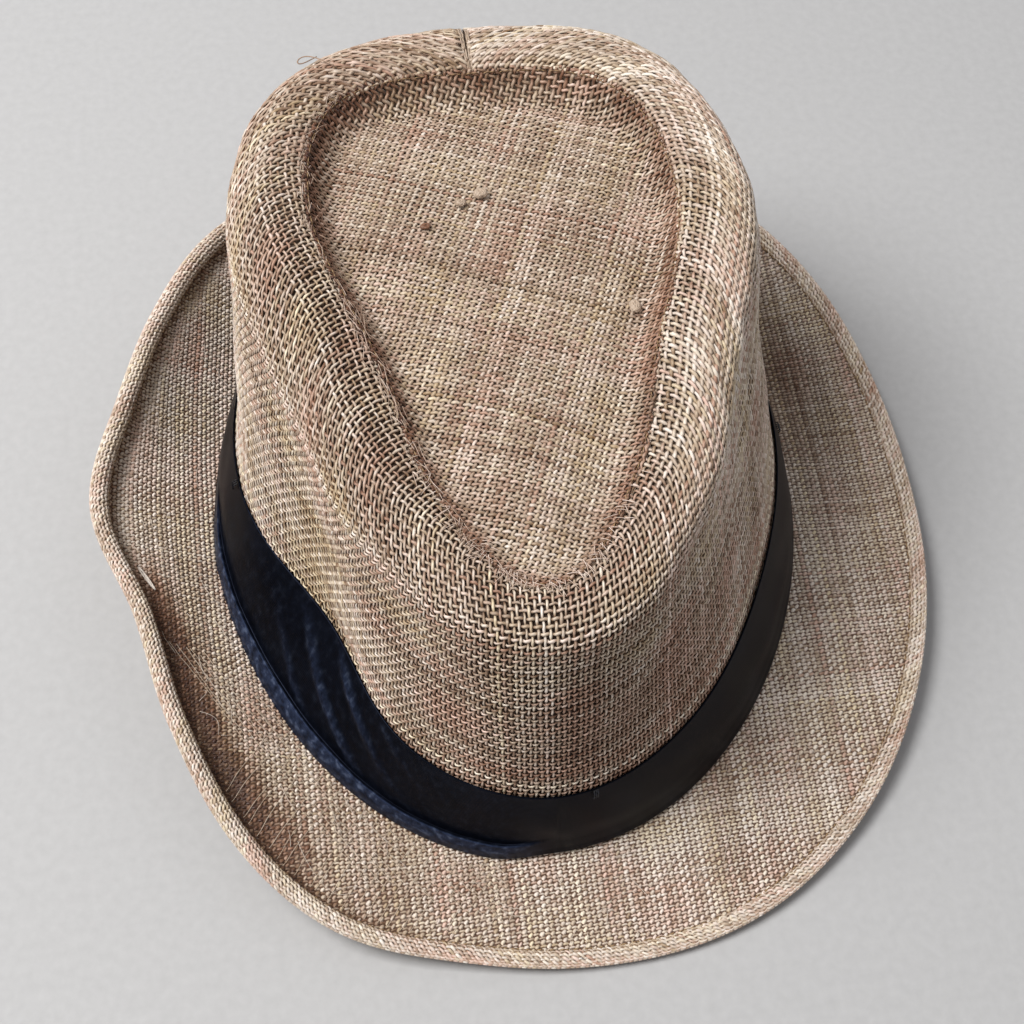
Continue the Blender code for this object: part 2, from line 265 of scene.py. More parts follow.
def new_material(name):
    """An empty material with its tree and its surface shader."""
    made = bpy.data.materials.new(name)
    made.use_nodes = True
    tree = made.node_tree
    return made, tree, tree.nodes["Principled BSDF"]


# %% [markdown]
# ## Paper straw
# Paper straw is a strip of tissue paper twisted into a yarn and lightly waxed, then woven. The
# twist gives each yarn fine slanted fibres, the dye takes unevenly, and the wax gives a soft
# gloss. Each thread below carries its own tone and warmth, stored on its points, so the colour
# changes from thread to thread as it does on a real loom. The tone also carries painted shade:
# darker where a thread dives under another, in creases and hollows, and where shadows fall.


# %% Twisted paper yarn, dyed tan and waxed
def paper_straw(name, stops, casts):
    """Waxed paper yarn: uneven tan dye, fine twisted fibres, soft gloss."""
    made, tree, shader = new_material(name)
    tone = add(tree, "ShaderNodeAttribute", attribute_name="tone").outputs["Fac"]
    warmth = add(tree, "ShaderNodeAttribute", attribute_name="warmth").outputs["Fac"]
    fibre = add(tree, "ShaderNodeAttribute", attribute_name="fibre").outputs["Vector"]
    # Fibres of 0.15 mm, long in the direction of the yarn.
    streak = add(tree, "ShaderNodeMapping", {"Vector": fibre, "Scale": (0.9, 3.2, 3.2)})
    strand = add(tree, "ShaderNodeTexNoise", {"Vector": streak.outputs[0], "Scale": 1.6, "Detail": 3.0})
    shift = add(tree, "ShaderNodeMath", {0: strand.outputs["Fac"], 1: -0.5}, operation="ADD")
    shaded = add(tree, "ShaderNodeMath", {0: shift.outputs[0], 1: 0.34, 2: tone}, operation="MULTIPLY_ADD")
    dye = add(tree, "ShaderNodeValToRGB", {"Fac": shaded.outputs[0]}, stops)
    cast = add(tree, "ShaderNodeValToRGB", {"Fac": warmth}, casts)
    tinted = add(
        tree,
        "ShaderNodeMix",
        {"Factor": 1.0, 6: dye.outputs["Color"], 7: cast.outputs["Color"]},
        data_type="RGBA",
        blend_type="MULTIPLY",
    )
    gloss = add(
        tree,
        "ShaderNodeMapRange",
        {"Value": strand.outputs["Fac"], "From Min": 0.3, "From Max": 0.7, "To Min": 0.34, "To Max": 0.52},
    )
    relief = add(
        tree, "ShaderNodeBump", {"Height": strand.outputs["Fac"], "Strength": 0.35, "Distance": 0.0002}
    )
    tree.links.new(tinted.outputs[2], shader.inputs["Base Color"])
    tree.links.new(gloss.outputs[0], shader.inputs["Roughness"])
    tree.links.new(relief.outputs[0], shader.inputs["Normal"])
    shader.inputs["IOR"].default_value = 1.5
    shader.inputs["Sheen Weight"].default_value = 0.12
    return made


straw = paper_straw(
    "waxed_paper_straw",
    ((0.0, "#402618"), (0.32, "#856A53"), (0.62, "#C0B09E"), (1.0, "#F8F3EC")),
    ((0.0, "#FFF2D6"), (0.5, "#FFF8F2"), (1.0, "#F8D8CC")),
)
print("straw made with", len(straw.node_tree.nodes), "nodes")


# %% Dark backing gauze, whose colour is painted shade
def dark_backing_gauze(name):
    """Cotton gauze soaked in glue, a guessed backing: dull, with a fine open grid of threads; its dark brown
    is painted shade.
    """
    made, tree, shader = new_material(name)
    cloth = add(tree, "ShaderNodeAttribute", attribute_name="cloth").outputs["Vector"]
    # Threads 1.2 mm apart, drawn about twice as coarse as real gauze so that they show.
    grid = [
        add(tree, "ShaderNodeTexWave", {"Vector": cloth, "Scale": 0.26}, bands_direction=way)
        for way in ("X", "Y")
    ]
    knit = add(
        tree, "ShaderNodeMath", {0: grid[0].outputs["Fac"], 1: grid[1].outputs["Fac"]}, operation="MAXIMUM"
    )
    wear = add(tree, "ShaderNodeTexNoise", {"Vector": cloth, "Scale": 0.08, "Detail": 4.0})
    mixed = add(
        tree,
        "ShaderNodeMath",
        {0: knit.outputs[0], 1: 0.45, 2: wear.outputs["Fac"]},
        operation="MULTIPLY_ADD",
    )
    dark = add(tree, "ShaderNodeValToRGB", {"Fac": mixed.outputs[0]}, ((0.5, "#25150C"), (1.0, "#46301F")))
    # The pale ramp is painted light and the dark one painted shade: the share of light is high at the sides
    # and back and low at the front, where the holes show the shaded inside of the crown.
    painted_lit_gauze = add(tree, "ShaderNodeValToRGB", {"Fac": mixed.outputs[0]}, ((0.5, "#6A5745"), (1.0, "#9A8571")))
    painted_light_share = add(tree, "ShaderNodeAttribute", attribute_name="tone").outputs["Fac"]
    dye = add(
        tree,
        "ShaderNodeMix",
        {"Factor": painted_light_share, 6: dark.outputs["Color"], 7: painted_lit_gauze.outputs["Color"]},
        data_type="RGBA",
    )
    relief = add(tree, "ShaderNodeBump", {"Height": knit.outputs[0], "Strength": 0.5, "Distance": 0.0003})
    tree.links.new(dye.outputs[2], shader.inputs["Base Color"])
    tree.links.new(relief.outputs[0], shader.inputs["Normal"])
    shader.inputs["Roughness"].default_value = 0.8
    return made


gauze = dark_backing_gauze("shade_backing_gauze")

# %% [markdown]
# ## Laying threads
# A plain weave has two sets of threads. The warp runs one way, the weft crosses it, and each
# thread goes over one and under the next. A thread is a tube with four corners, drawn through two
# points at every crossing, so its top is flat where it floats and it dips steeply between. All
# the threads of a panel go into one mesh, which keeps half a million faces quick to handle.

# %% Seeded chance and smooth unevenness
chance = np.random.default_rng(7)


def ripple(a, b, size, seed, parts=7):
    """Smooth unevenness between about -1 and 1, with waves of roughly the given size in mm."""
    picks = np.random.default_rng(seed)
    total = np.zeros(np.broadcast(a, b).shape)
    for _ in range(parts):
        angle, phase = picks.uniform(0, math.tau, 2)
        pace = math.tau / (size * picks.uniform(0.7, 1.6))
        total += np.sin(pace * (math.cos(angle) * a + math.sin(angle) * b) + phase)
    return total / math.sqrt(2 * parts)


def store(mesh, name, kind, values):
    """Keeps one value for each point of a mesh."""
    field = "vector" if kind == "FLOAT_VECTOR" else "value"
    layer = mesh.attributes.new(name, kind, "POINT")
    layer.data.foreach_set(field, np.ascontiguousarray(values, np.float32).ravel())


# %% A mesh from points and four-cornered faces, with its own map for baking
def mesh_piece(name, points, quads, material, facts=None):
    """A smooth object from points in mm and quads; each quad gets its own cell of the map."""
    mesh = bpy.data.meshes.new(name)
    count = len(quads)
    mesh.vertices.add(len(points))
    mesh.vertices.foreach_set("co", ((points + HEAD) * MM).astype(np.float32).ravel())
    mesh.loops.add(4 * count)
    mesh.loops.foreach_set("vertex_index", quads.astype(np.int32).ravel())
    mesh.polygons.add(count)
    mesh.polygons.foreach_set("loop_start", np.arange(0, 4 * count, 4, dtype=np.int32))
    mesh.polygons.foreach_set("loop_total", np.full(count, 4, dtype=np.int32))
    mesh.update(calc_edges=True)
    side = math.ceil(math.sqrt(count))
    cell = np.stack([np.arange(count) % side, np.arange(count) // side], -1)[:, None, :]
    corner = np.array([[0, 0], [1, 0], [1, 1], [0, 1]])[None]
    layer = mesh.uv_layers.new(name="OFBake")
    layer.data.foreach_set("uv", ((cell + corner) / side).astype(np.float32).ravel())
    for fact, (kind, values) in (facts or {}).items():
        store(mesh, fact, kind, values)
    mesh.shade_smooth()
    mesh.materials.append(material)
    piece = bpy.data.objects.new(name, mesh)
    bpy.context.scene.collection.objects.link(piece)
    return piece


# %% Tubes with four corners
CORNERS = ((1, 0), (0, 1), (-1, 0), (0, -1))


def thread_piece(name, centre, normal, width, thick, there, tone, warmth, material):
    """One mesh of many threads. centre is threads x samples x 3; there says which samples exist."""
    ahead = np.gradient(centre, axis=1)
    side = unit(np.cross(ahead, normal))
    up = unit(np.cross(side, ahead))
    corners = [centre + side * (x * width)[..., None] + up * (y * thick)[..., None] for x, y in CORNERS]
    points = np.stack(corners, axis=2)[there].reshape(-1, 3)
    number = np.full(there.shape, -1)
    number[there] = np.arange(there.sum()) * 4
    joined = there[:, :-1] & there[:, 1:]
    start, end = number[:, :-1][joined], number[:, 1:][joined]
    strips = []
    for c in range(4):
        d = (c + 1) % 4
        strips.append(np.stack([start + c, end + c, end + d, start + d], -1))
    opening = there & ~np.pad(joined, ((0, 0), (1, 0)))
    closing = there & ~np.pad(joined, ((0, 0), (0, 1)))
    strips.append(number[opening][:, None] + np.array([0, 1, 2, 3]))
    strips.append(number[closing][:, None] + np.array([3, 2, 1, 0]))
    step = np.linalg.norm(ahead, axis=-1)
    run = np.cumsum(step, axis=1) + chance.uniform(0, 400, (len(centre), 1))
    fibre = np.stack([np.stack([run, x * width, y * width], -1) for x, y in CORNERS], 2)
    facts = {
        "tone": ("FLOAT", np.repeat(tone[there], 4)),
        "warmth": ("FLOAT", np.repeat(warmth[there], 4)),
        "fibre": ("FLOAT_VECTOR", fibre[there].reshape(-1, 3)),
    }
    piece = mesh_piece(name, points, np.concatenate(strips), material, facts)
    print(f"{name}: {len(centre)} threads, {len(piece.data.polygons)} faces")
    return piece


# %% A panel of plain weave
FLOAT_STEPS = np.array((-0.26, 0.26))  # where a thread is drawn, either side of a crossing


def weave(name, spot, warps, wefts, pitch, look, splits=1):
    """Weaves a panel. spot turns cloth coordinates into points, normals and where the cloth is.

    Its fourth answer is a set of marks: the first mark darkens the cloth with painted shade, and
    lightens it with painted light where it is negative; blush reddens it, close packs the threads,
    and favour lifts and brightens the warp over the weft.
    """
    made = []
    for kind in ("warp", "weft"):
        lines, marks = (warps, wefts) if kind == "warp" else (wefts, warps)
        across, along = pitch if kind == "warp" else pitch[::-1]
        line = lines[:, None, None] * np.ones((1, len(marks), 2))
        mark = marks[None, :, None] * np.ones((len(lines), 1, 2))
        over = np.where((line + mark) % 2 == 0, 1.0, -1.0) * (1 if kind == "warp" else -1)
        slant = look["slant"][kind]
        if kind == "warp" and "lean" in look:
            slant = slant + look["lean"](line * across, mark * along)
        step = over * np.sign(FLOAT_STEPS) * slant * across
        sway = 0.10 * ripple(line * across, mark * along, 22, look["seed"] + len(kind), 5)
        place = line + sway + chance.normal(0, look["loose"], (len(lines), 1, 1)) + step / across
        path = mark + FLOAT_STEPS
        shape = (len(lines), 2 * len(marks))
        place, path, over = (x.reshape(shape) for x in (place, path, over))
        a, b = (place, path) if kind == "warp" else (path, place)
        points, normals, there, state = spot(a * pitch[0], b * pitch[1])
        # The first mark is painted shade, and painted light where it is negative.
        painted_shade, blush, close, favour = (state.get(key, 0.0) for key in ("painted_shade", "blush", "close", "favour"))
        favour = favour * (1 if kind == "warp" else -1)
        # A slub is a short stretch where the yarn is half as wide again.
        slub = 1 + 0.5 * (ripple(place * 7.7, path * 1.3, 9, look["seed"] + 5) > 1.75)
        width = look["width"][kind] * chance.normal(1, 0.08, (len(lines), 1)) * slub
        width = width * (1 + 0.1 * chance.normal(0, 1, shape)) * (1 + 0.42 * close) * (1 + 0.2 * favour)
        centre = points + normals * (over * look["bow"] - look["sink"] + 0.12 * favour)[..., None]
        dye = chance.normal(0, look["uneven"], (len(lines), 1)) + chance.normal(0, 0.08, shape)
        patch = 0.06 * ripple(a * pitch[0], b * pitch[1], 30, look["seed"] + 3)
        # Painted shade: depth makes a float lighter where it lies on top and darker where it dives under a
        # crossing thread.
        shade = patch - painted_shade + 0.1 * favour + look["depth"] * over * (1 - 0.5 * close)
        tone = np.clip(look["tone"] + dye + shade, 0, 1)
        haze = 0.22 * ripple(a * pitch[0], b * pitch[1], 26, look["seed"] + 9)
        warmth = np.clip(look["warm"] + chance.normal(0, 0.16, (len(lines), 1)) + haze + blush, 0, 1)
        thick = np.full(shape, look["thick"])
        for part, group in enumerate(np.array_split(np.arange(len(lines)), splits)):
            title = f"{name}_{kind}" + (f"_{part + 1}" if splits > 1 else "")
            pick = [x[group] for x in (centre, normals, width, thick, there, tone, warmth)]
            made.append(thread_piece(title, *pick, straw))
    return made


# %% [markdown]
# ## The cloth of the crown wall
# The wall is one strip that stands on the head oval, rolls over the ridge and turns down into the
# groove. Its weft threads run round the head as level rings. Its warp threads stand upright at an
# equal spacing from the centre front, so where the wall narrows towards the top the outer ones
# are cut off along the seam at the centre back, as they are when the strip is cut from flat cloth.

# %% The wall's profile, smoothed and measured along the cloth
TURNS = np.linspace(-0.5, 0.5, 1441)
PROFILE_ROWS = 257
ROW_STEP, CLOTH_STEP = 0.5, 1.0
REACH = 300.0


def wall_profile():
    """Rows of points from the foot of the wall, over the ridge, down to the top panel's seam."""
    rows = [wall_point(TURNS, h, 0) for h in np.linspace(WALL_BOTTOM, BAND_TOP, 14)]
    foot, shoulder = rows[-1], ridge_point(TURNS, 0)
    rows += [foot + (shoulder - foot) * share for share in np.linspace(0, 1, 24)[1:]]
    rows += [ridge_point(TURNS, bend) for bend in np.radians(np.linspace(0, 90, 19)[1:])]
    seam = wave(SEAM_INSETS, TURNS)
    rows += [inner_slope(TURNS, seam * share) for share in np.linspace(0, 1, 14)[1:]]
    rows.append(inner_slope(TURNS, seam + 0.9) - point(0, 0, 1.2))
    return np.array(rows)


def lengths_up(rows):
    """Distance along the cloth from the first row, for every point."""
    steps = np.linalg.norm(np.diff(rows[..., :3], axis=0), axis=-1)
    return np.vstack([np.zeros((1, rows.shape[1])), np.cumsum(steps, axis=0)])


def redraw_rows(rows, marks):
    """Every column drawn again at its own marks along the cloth; rows may carry extra values."""
    lengths = lengths_up(rows)
    made = np.empty((marks.shape[0],) + rows.shape[1:])
    for column in range(rows.shape[1]):
        for axis in range(rows.shape[2]):
            made[:, column, axis] = np.interp(marks[:, column], lengths[:, column], rows[:, column, axis])
    return made


def surface_normals(grid):
    """Normals of a grid of points, out of the hat."""
    return unit(np.cross(np.gradient(grid, axis=1), np.gradient(grid, axis=0)))


rough = wall_profile()
wall_rows = redraw_rows(rough, np.linspace(0, 1, PROFILE_ROWS)[:, None] * lengths_up(rough)[-1])
for _ in range(40):
    wall_rows[1:-1] = (wall_rows[:-2] + 2 * wall_rows[1:-1] + wall_rows[2:]) / 4
wall_ends = lengths_up(wall_rows)[-1]
WALL_LENGTH = float(wall_ends.max())
print("the wall's cloth is", wall_ends.min().round(1), "to", wall_ends.max().round(1), "mm tall")

# %% The wall's cloth table: distance round the head by distance up the cloth
columns_at = np.arange(-REACH, REACH + CLOTH_STEP, CLOTH_STEP)
wall_tops = np.broadcast_to(wall_ends[None, :, None], wall_rows.shape[:2] + (1,))
full_rows = np.concatenate([wall_rows, surface_normals(wall_rows), wall_tops], axis=-1)
marks_up = np.arange(0, WALL_LENGTH + ROW_STEP, ROW_STEP)[:, None] + 0 * wall_ends
full_rows = redraw_rows(full_rows, marks_up)


def cloth_table(rows):
    """Values at equal distances from the centre front along each row, and each row's half length."""
    table = np.empty((len(rows), len(columns_at), rows.shape[-1]))
    halves = np.empty(len(rows))
    middle = len(TURNS) // 2
    for number, ring in enumerate(rows):
        run = np.append(0, np.cumsum(np.linalg.norm(np.diff(ring[:, :3], axis=0), axis=-1)))
        run -= run[middle]
        halves[number] = run[-1]
        for axis in range(rows.shape[-1]):
            table[number, :, axis] = np.interp(columns_at, run, ring[:, axis])
    return table, halves


def look_up(table, row, column):
    """Value of a grid between its rows and columns."""
    row = np.clip(row, 0, table.shape[0] - 1.001)
    column = np.clip(column, 0, table.shape[1] - 1.001)
    r, c = row.astype(int), column.astype(int)
    up, right = (row - r)[..., None], (column - c)[..., None]
    low = table[r, c] * (1 - right) + table[r, c + 1] * right
    high = table[r + 1, c] * (1 - right) + table[r + 1, c + 1] * right
    return low * (1 - up) + high * up


wall_table, wall_halves = cloth_table(full_rows)
print("half of the wall's foot is", round(float(wall_halves[0]), 1), "mm round")


def half_round(b):
    """Distance from the centre front to the centre back at a distance up the cloth."""
    return np.interp(b / ROW_STEP, np.arange(len(wall_halves)), wall_halves)


def closeness(side):
    """1 where the open cloth is pressed close: on the plain side and at the back of the crown."""
    return np.maximum(ease(side, 0.04, 0.13), ease(-side, 0.27, 0.36))


def wall_spot(a, b):
    """Points of the wall at a distance round from the centre front and a distance up the cloth."""
    found = look_up(wall_table, b / ROW_STEP, (a + REACH) / CLOTH_STEP)
    normals = unit(found[..., 3:6])
    there = (np.abs(a) < half_round(b)) & (b > 0) & (b < found[..., 6])
    side = a / (2 * half_round(b))
    rough = 0.12 + 0.14 * closeness(side) * ease(b, 70, 95)
    loose = 0.45 * ripple(a, b, 34, 11) + rough * ripple(a, b, 8, 12)
    low = 1 - ease(b, 62, 80)
    left = ease(-side, 0.07, 0.14) * (1 - ease(-side, 0.32, 0.42)) * low
    hollow = near(side, -0.16, 0.028) * low
    lighter_upper_right = 0.12 * ease(side, 0.06, 0.14) * (1 - low)
    # Painted shade: the first mark darkens the low front wall, which the light only grazes, and the hollow
    # of the dent; it also makes the upper right of the wall lighter.
    marks = {
        "close": closeness(side) * (1 - 0.5 * low) - 0.6 * left,
        "favour": 0.35 * left * (1 - 0.6 * hollow),
        "painted_shade": 0.1 * near(side, 0.0, 0.09) * low - lighter_upper_right + 0.06 * hollow,
        "blush": 0.3 * near(side, 0.05, 0.12) * low - 0.45 * hollow,
    }
    return found[..., :3] + normals * loose[..., None], normals, there, marks


# %% Weave the wall
# 1.45 mm from warp to warp and 1.9 mm from weft to weft, as on an open summer straw.
WALL_PITCH = (1.45, 1.9)


def pulled_askew(a, b):
    """Extra slant of the warp floats where the cloth was pulled round the curled side."""
    return -0.28 * ease(-a, 35, 80) * (1 - ease(-a, 180, 230)) * (1 - ease(b, 55, 78))


crown_look = {
    "width": {"warp": 0.34, "weft": 0.38},
    "slant": {"warp": 0.05, "weft": 0.05},
    "thick": 0.27,
    "bow": 0.27,
    "sink": 0.5,
    "loose": 0.05,
    "uneven": 0.12,
    "tone": 0.55,
    "warm": 0.5,
    "depth": 0.13,
    "seed": 100,
}
wall_look = crown_look | {"lean": pulled_askew}
columns_half = int(wall_halves.max() / WALL_PITCH[0]) + 1
wall_pieces = weave(
    "crown_wall",
    wall_spot,
    np.arange(-columns_half, columns_half + 1),
    np.arange(1, int(WALL_LENGTH / WALL_PITCH[1]) + 1),
    WALL_PITCH,
    wall_look,
    splits=2,
)

# %% Close the wall at the centre back
# The two cut edges are sewn together, so two threads run up each side of the join.
seam_up = np.arange(1.0, WALL_LENGTH, 0.9)[None] + np.zeros((4, 1))
seam_off = np.array((-1.0, -0.35, 0.35, 1.0))[:, None] + 0.1 * np.sin(seam_up * 2.1 + np.arange(4)[:, None])
seam_round = np.sign(seam_off) * (half_round(seam_up) - np.abs(seam_off) + 0.15)
seam_points, seam_normals, seam_there, _ = wall_spot(seam_round, seam_up)
seam_full = np.full(seam_up.shape, 0.27)
back_seam = thread_piece(
    "crown_wall_back_seam", seam_points - seam_normals * 0.28, seam_normals, seam_full, seam_full * 0.8,
    seam_there, seam_full + 0.28, seam_full + 0.2, straw,
)

# %% [markdown]
# ## The top panel
# The panel on top is a second piece of the same cloth, so its grain doesn't line up with the
# wall's: here it leans by about twenty-three degrees. It sags into the crown, and its edge
# disappears under the wall strip, where a cut end of straw stands up here and there.

# %% The top panel as heights above a plan
TIP_GRAIN = math.radians(-23)
PLAN_X, PLAN_Y = np.arange(-72, 72.5, 1.0), np.arange(-92, 100.5, 1.0)
crest_turns = np.linspace(0, 1, 960, endpoint=False)
crest_line, crest_ways = crest_top(crest_turns), crest_out(crest_turns)
rim_turns = np.linspace(0, 1, 1441)
rim_line = inner_slope(rim_turns, wave(SEAM_INSETS, rim_turns) + SLOPE_WIDTH)
rim_flat = rim_line[:, :2] - np.array(CREST_CENTRE)
rim_bearing = np.unwrap(np.arctan2(rim_flat[:, 0], -rim_flat[:, 1]))
rim_radius = np.linalg.norm(rim_flat, axis=1)


def basin_height(x, y):
    """Height of the sunken middle of the crown, which rises a little towards its centre."""
    bearing = np.mod(np.arctan2(x, -y) - rim_bearing[0], math.tau) + rim_bearing[0]
    low = np.interp(bearing, rim_bearing, rim_line[:, 2])
    share = np.clip(1 - np.hypot(x, y) / np.interp(bearing, rim_bearing, rim_radius), 0, 1)
    dome = TIP_DOME * np.sin(math.pi * share / 2) * (1 - share)
    return low + (TIP_HEIGHT - low) * (ease(share, -0.35, 1.0) - ease(0.0, -0.35, 1.0)) / 0.8 + dome


def plan_table():
    """Height of the top panel, and distance in from its seam, over a grid in plan."""
    x, y = np.meshgrid(PLAN_X, PLAN_Y)
    place = np.stack([x.ravel(), y.ravel()], -1) + np.array(CREST_CENTRE)
    far = ((place[:, None] - crest_line[None, :, :2]) ** 2).sum(-1)
    nearest = far.argmin(1)
    rest = place - crest_line[nearest, :2]
    inset = -(rest * crest_ways[nearest, :2]).sum(-1)
    inset = np.sign(inset) * np.sqrt(far.min(1))
    turn = crest_turns[nearest]
    slope = crest_line[nearest, 2] - slope_drop(turn, inset)
    share = ease(inset - wave(SEAM_INSETS, turn), SLOPE_WIDTH - 2, SLOPE_WIDTH + 5)
    height = slope * (1 - share) + basin_height(x.ravel(), y.ravel()) * share
    made = np.stack([height, inset - wave(SEAM_INSETS, turn)], -1).reshape(x.shape + (2,))
    for _ in range(3):
        made[1:-1, 1:-1, 0] = (
            made[1:-1, 1:-1, 0] * 2 + made[:-2, 1:-1, 0] + made[2:, 1:-1, 0]
            + made[1:-1, :-2, 0] + made[1:-1, 2:, 0]
        ) / 6
    slopes = np.gradient(made[..., 0])
    return np.concatenate([made, slopes[1][..., None], slopes[0][..., None]], -1)


tip_table = plan_table()
print("top panel from", tip_table[..., 0].min().round(1), "to", tip_table[..., 0].max().round(1), "mm high")


def tip_spot(a, b):
    """Points of the top panel from cloth coordinates that follow its own grain."""
    x = a * math.cos(TIP_GRAIN) - b * math.sin(TIP_GRAIN)
    y = a * math.sin(TIP_GRAIN) + b * math.cos(TIP_GRAIN)
    found = look_up(tip_table, y - PLAN_Y[0], x - PLAN_X[0])
    normals = unit(point(-found[..., 2], -found[..., 3], 1.0))
    loose = 0.35 * ripple(a, b, 30, 21) + 0.12 * ripple(a, b, 9, 22)
    points = point(x + CREST_CENTRE[0], y + CREST_CENTRE[1], found[..., 0] + loose)
    # Painted shade: the cloth is darker and redder in the crease along the seam, more on the left, where the
    # slope faces away from the light.
    crease = (0.22 + 0.22 * ease(-x, 5, 35)) * np.exp(-(((found[..., 1] - 0.6) / 2.6) ** 2))
    return points, normals, found[..., 1] > -0.3, {"painted_shade": crease, "blush": 1.4 * crease}


# %% Weave the top panel
# Its weft is beaten closer than the wall's: 1.5 mm from warp to warp, 1.1 mm from weft to weft.
TIP_PITCH = (1.5, 1.1)
tip_look = crown_look | {
    "tone": 0.56,
    "uneven": 0.08,
    "seed": 200,
    "width": {"warp": 0.47, "weft": 0.43},
    "depth": 0.07,
    "bow": 0.22,
    "slant": {"warp": 0.08, "weft": 0.1},
}
tip_pieces = weave("crown_tip", tip_spot, np.arange(-62, 63), np.arange(-94, 95), TIP_PITCH, tip_look)

# %% [markdown]
# ## The brim
# The brim is a flat ring of cloth pressed into its curl. Its threads run straight from the front
# of the hat to the back, whatever the direction of the edge, because the ring was cut from one
# flat piece. To find where a thread lies on the curved brim, each place on the flat cloth is
# measured from the head oval: how far round it is, and how far out.


# %% From a place on the flat cloth to a place round the head
def round_and_out(x, y):
    """Turn and distance out from the head oval for places on the flat brim cloth."""
    turn = np.arctan2(x / HALF_WIDTH, -y / HALF_LENGTH) / math.tau
    for _ in range(8):
        place, out = oval(turn)
        along = np.stack([-out[..., 1], out[..., 0]], -1)
        rest = np.stack([x, y], -1) - place[..., :2]
        step = 1e-4
        ahead = (oval(turn + step)[0] - oval(turn - step)[0])[..., :2] / (2 * step)
        distance = (rest * out[..., :2]).sum(-1)
        turned = (oval(turn + step)[1] - oval(turn - step)[1])[..., :2] / (2 * step)
        pace = (ahead * along).sum(-1) + distance * (turned * along).sum(-1)
        turn = turn + (rest * along).sum(-1) / pace
    place, out = oval(turn)
    return turn, ((np.stack([x, y], -1) - place[..., :2]) * out[..., :2]).sum(-1)


BRIM_EDGE = 2.6


def brim_spot(a, b):
    """Points of the brim from flat cloth coordinates, straight across and straight back."""
    turn, along = round_and_out(a, b)
    there = (along > -0.8) & (along < brim_width(turn) - BRIM_EDGE)
    along = np.clip(along, -1.0, brim_width(turn) + 2)
    points = brim_point(turn, along, 0)
    up = brim_point(turn, along, 1.0) - points
    out = brim_point(turn, along + 0.5, 0) - brim_point(turn, along - 0.5, 0)
    ahead = brim_point(turn + 0.002, along, 0) - brim_point(turn - 0.002, along, 0)
    normals = unit(np.cross(ahead, out))
    normals *= np.sign((normals * up).sum(-1))[..., None]
    lift = ease(along, 0, 12)
    loose = lift * (0.4 * ripple(a, b, 36, 31) + 0.14 * ripple(a, b, 8, 32))
    side = np.mod(turn, 1.0)
    inward = brim_width(turn) - along
    kinked = ease(side, 0.755, 0.8) * (1 - ease(side, 0.85, 0.93))
    # Painted shade, all for the first mark: valley is the roll's shadow in the valley inside the curled
    # edge, reddened by blush too; groove is shade along the foot of the roll.
    valley = 0.66 * kinked * np.exp(-(((inward - 11.0) / 5.5) ** 2))
    groove = 0.32 * rolled(turn) * np.exp(-(((inward - 5.5) / 2.2) ** 2))
    # Painted shadow of the crown on the brim near turn 0.31, less a little painted light on the left of the
    # brim; the last term of the sum is painted shade at the front left corner.
    painted_shadow_and_light = 0.34 * near(turn, 0.31, 0.055) * (1 - ease(along, 8, 32)) - 0.07 * near(turn, 0.69, 0.06)
    painted_shade = valley + groove + painted_shadow_and_light + 0.1 * near(turn, 0.9, 0.06)
    marks = {"painted_shade": painted_shade, "blush": 0.5 * valley, "favour": 0.35}
    return points + normals * loose[..., None], normals, there, marks


# %% Weave the brim
# The brim cloth is closer: 1.5 mm from warp to warp and 1.1 mm from weft to weft.
BRIM_PITCH = (1.5, 1.1)
brim_look = {
    "width": {"warp": 0.50, "weft": 0.37},
    "slant": {"warp": 0.16, "weft": 0.05},
    "thick": 0.27,
    "bow": 0.24,
    "sink": 0.0,
    "loose": 0.04,
    "uneven": 0.09,
    "tone": 0.68,
    "warm": 0.5,
    "depth": 0.13,
    "seed": 300,
}
brim_pieces = weave(
    "brim", brim_spot, np.arange(-88, 89), np.arange(-131, 132), BRIM_PITCH, brim_look, splits=2
)

# %% The brim's collar, which stands up inside the crown
COLLAR_LOW, COLLAR_HIGH = 0.5, 9.5
HEAD_ROUND = 588.0  # round the head oval, outside the straw


def collar_spot(a, b):
    """Points of the collar from a distance round the head and a distance up."""
    turn, height = a / HEAD_ROUND, np.clip(b, COLLAR_LOW, COLLAR_HIGH)
    points = wall_point(turn, height, -(STRAW + GAP) + 0.5)
    normals = oval(turn)[1]
    return points, normals, (b >= COLLAR_LOW) & (b <= COLLAR_HIGH), {}


collar_look = brim_look | {"width": {"warp": 0.7, "weft": 0.7}, "seed": 350, "tone": 0.4}
COLLAR_PITCH = (1.96, 1.9)
collar_pieces = weave(
    "brim_collar", collar_spot, np.arange(0, 300), np.arange(0, 6), COLLAR_PITCH, collar_look
)

# %% [markdown]
# ## The rolled edge
# A strip of the same straw is folded over the brim's edge with a springy wire inside it. On the
# curled side the fold stands up as a plump roll, and at the front it is pressed flat. The strip
# is cut on the slant, so its threads wind round the edge like the stripes of a barber's pole.

# %% Distance along the edge
edge_turns = np.linspace(0, 1, 2881)
edge_line = brim_point(edge_turns, brim_width(edge_turns), 0)
edge_run = np.append(0, np.cumsum(np.linalg.norm(np.diff(edge_line, axis=0), axis=-1)))
EDGE_LENGTH = float(edge_run[-1])
print("the brim's edge is", round(EDGE_LENGTH), "mm round")

# %% The roll's section and its threads
ROLL_REACH = 5.2
ROLL_LOW, ROLL_HIGH = 0.8, 2.3
ROLL_ROWS = 12
ROLL_LEAD = 0.9  # how far a thread winds along the edge, for each mm round the section


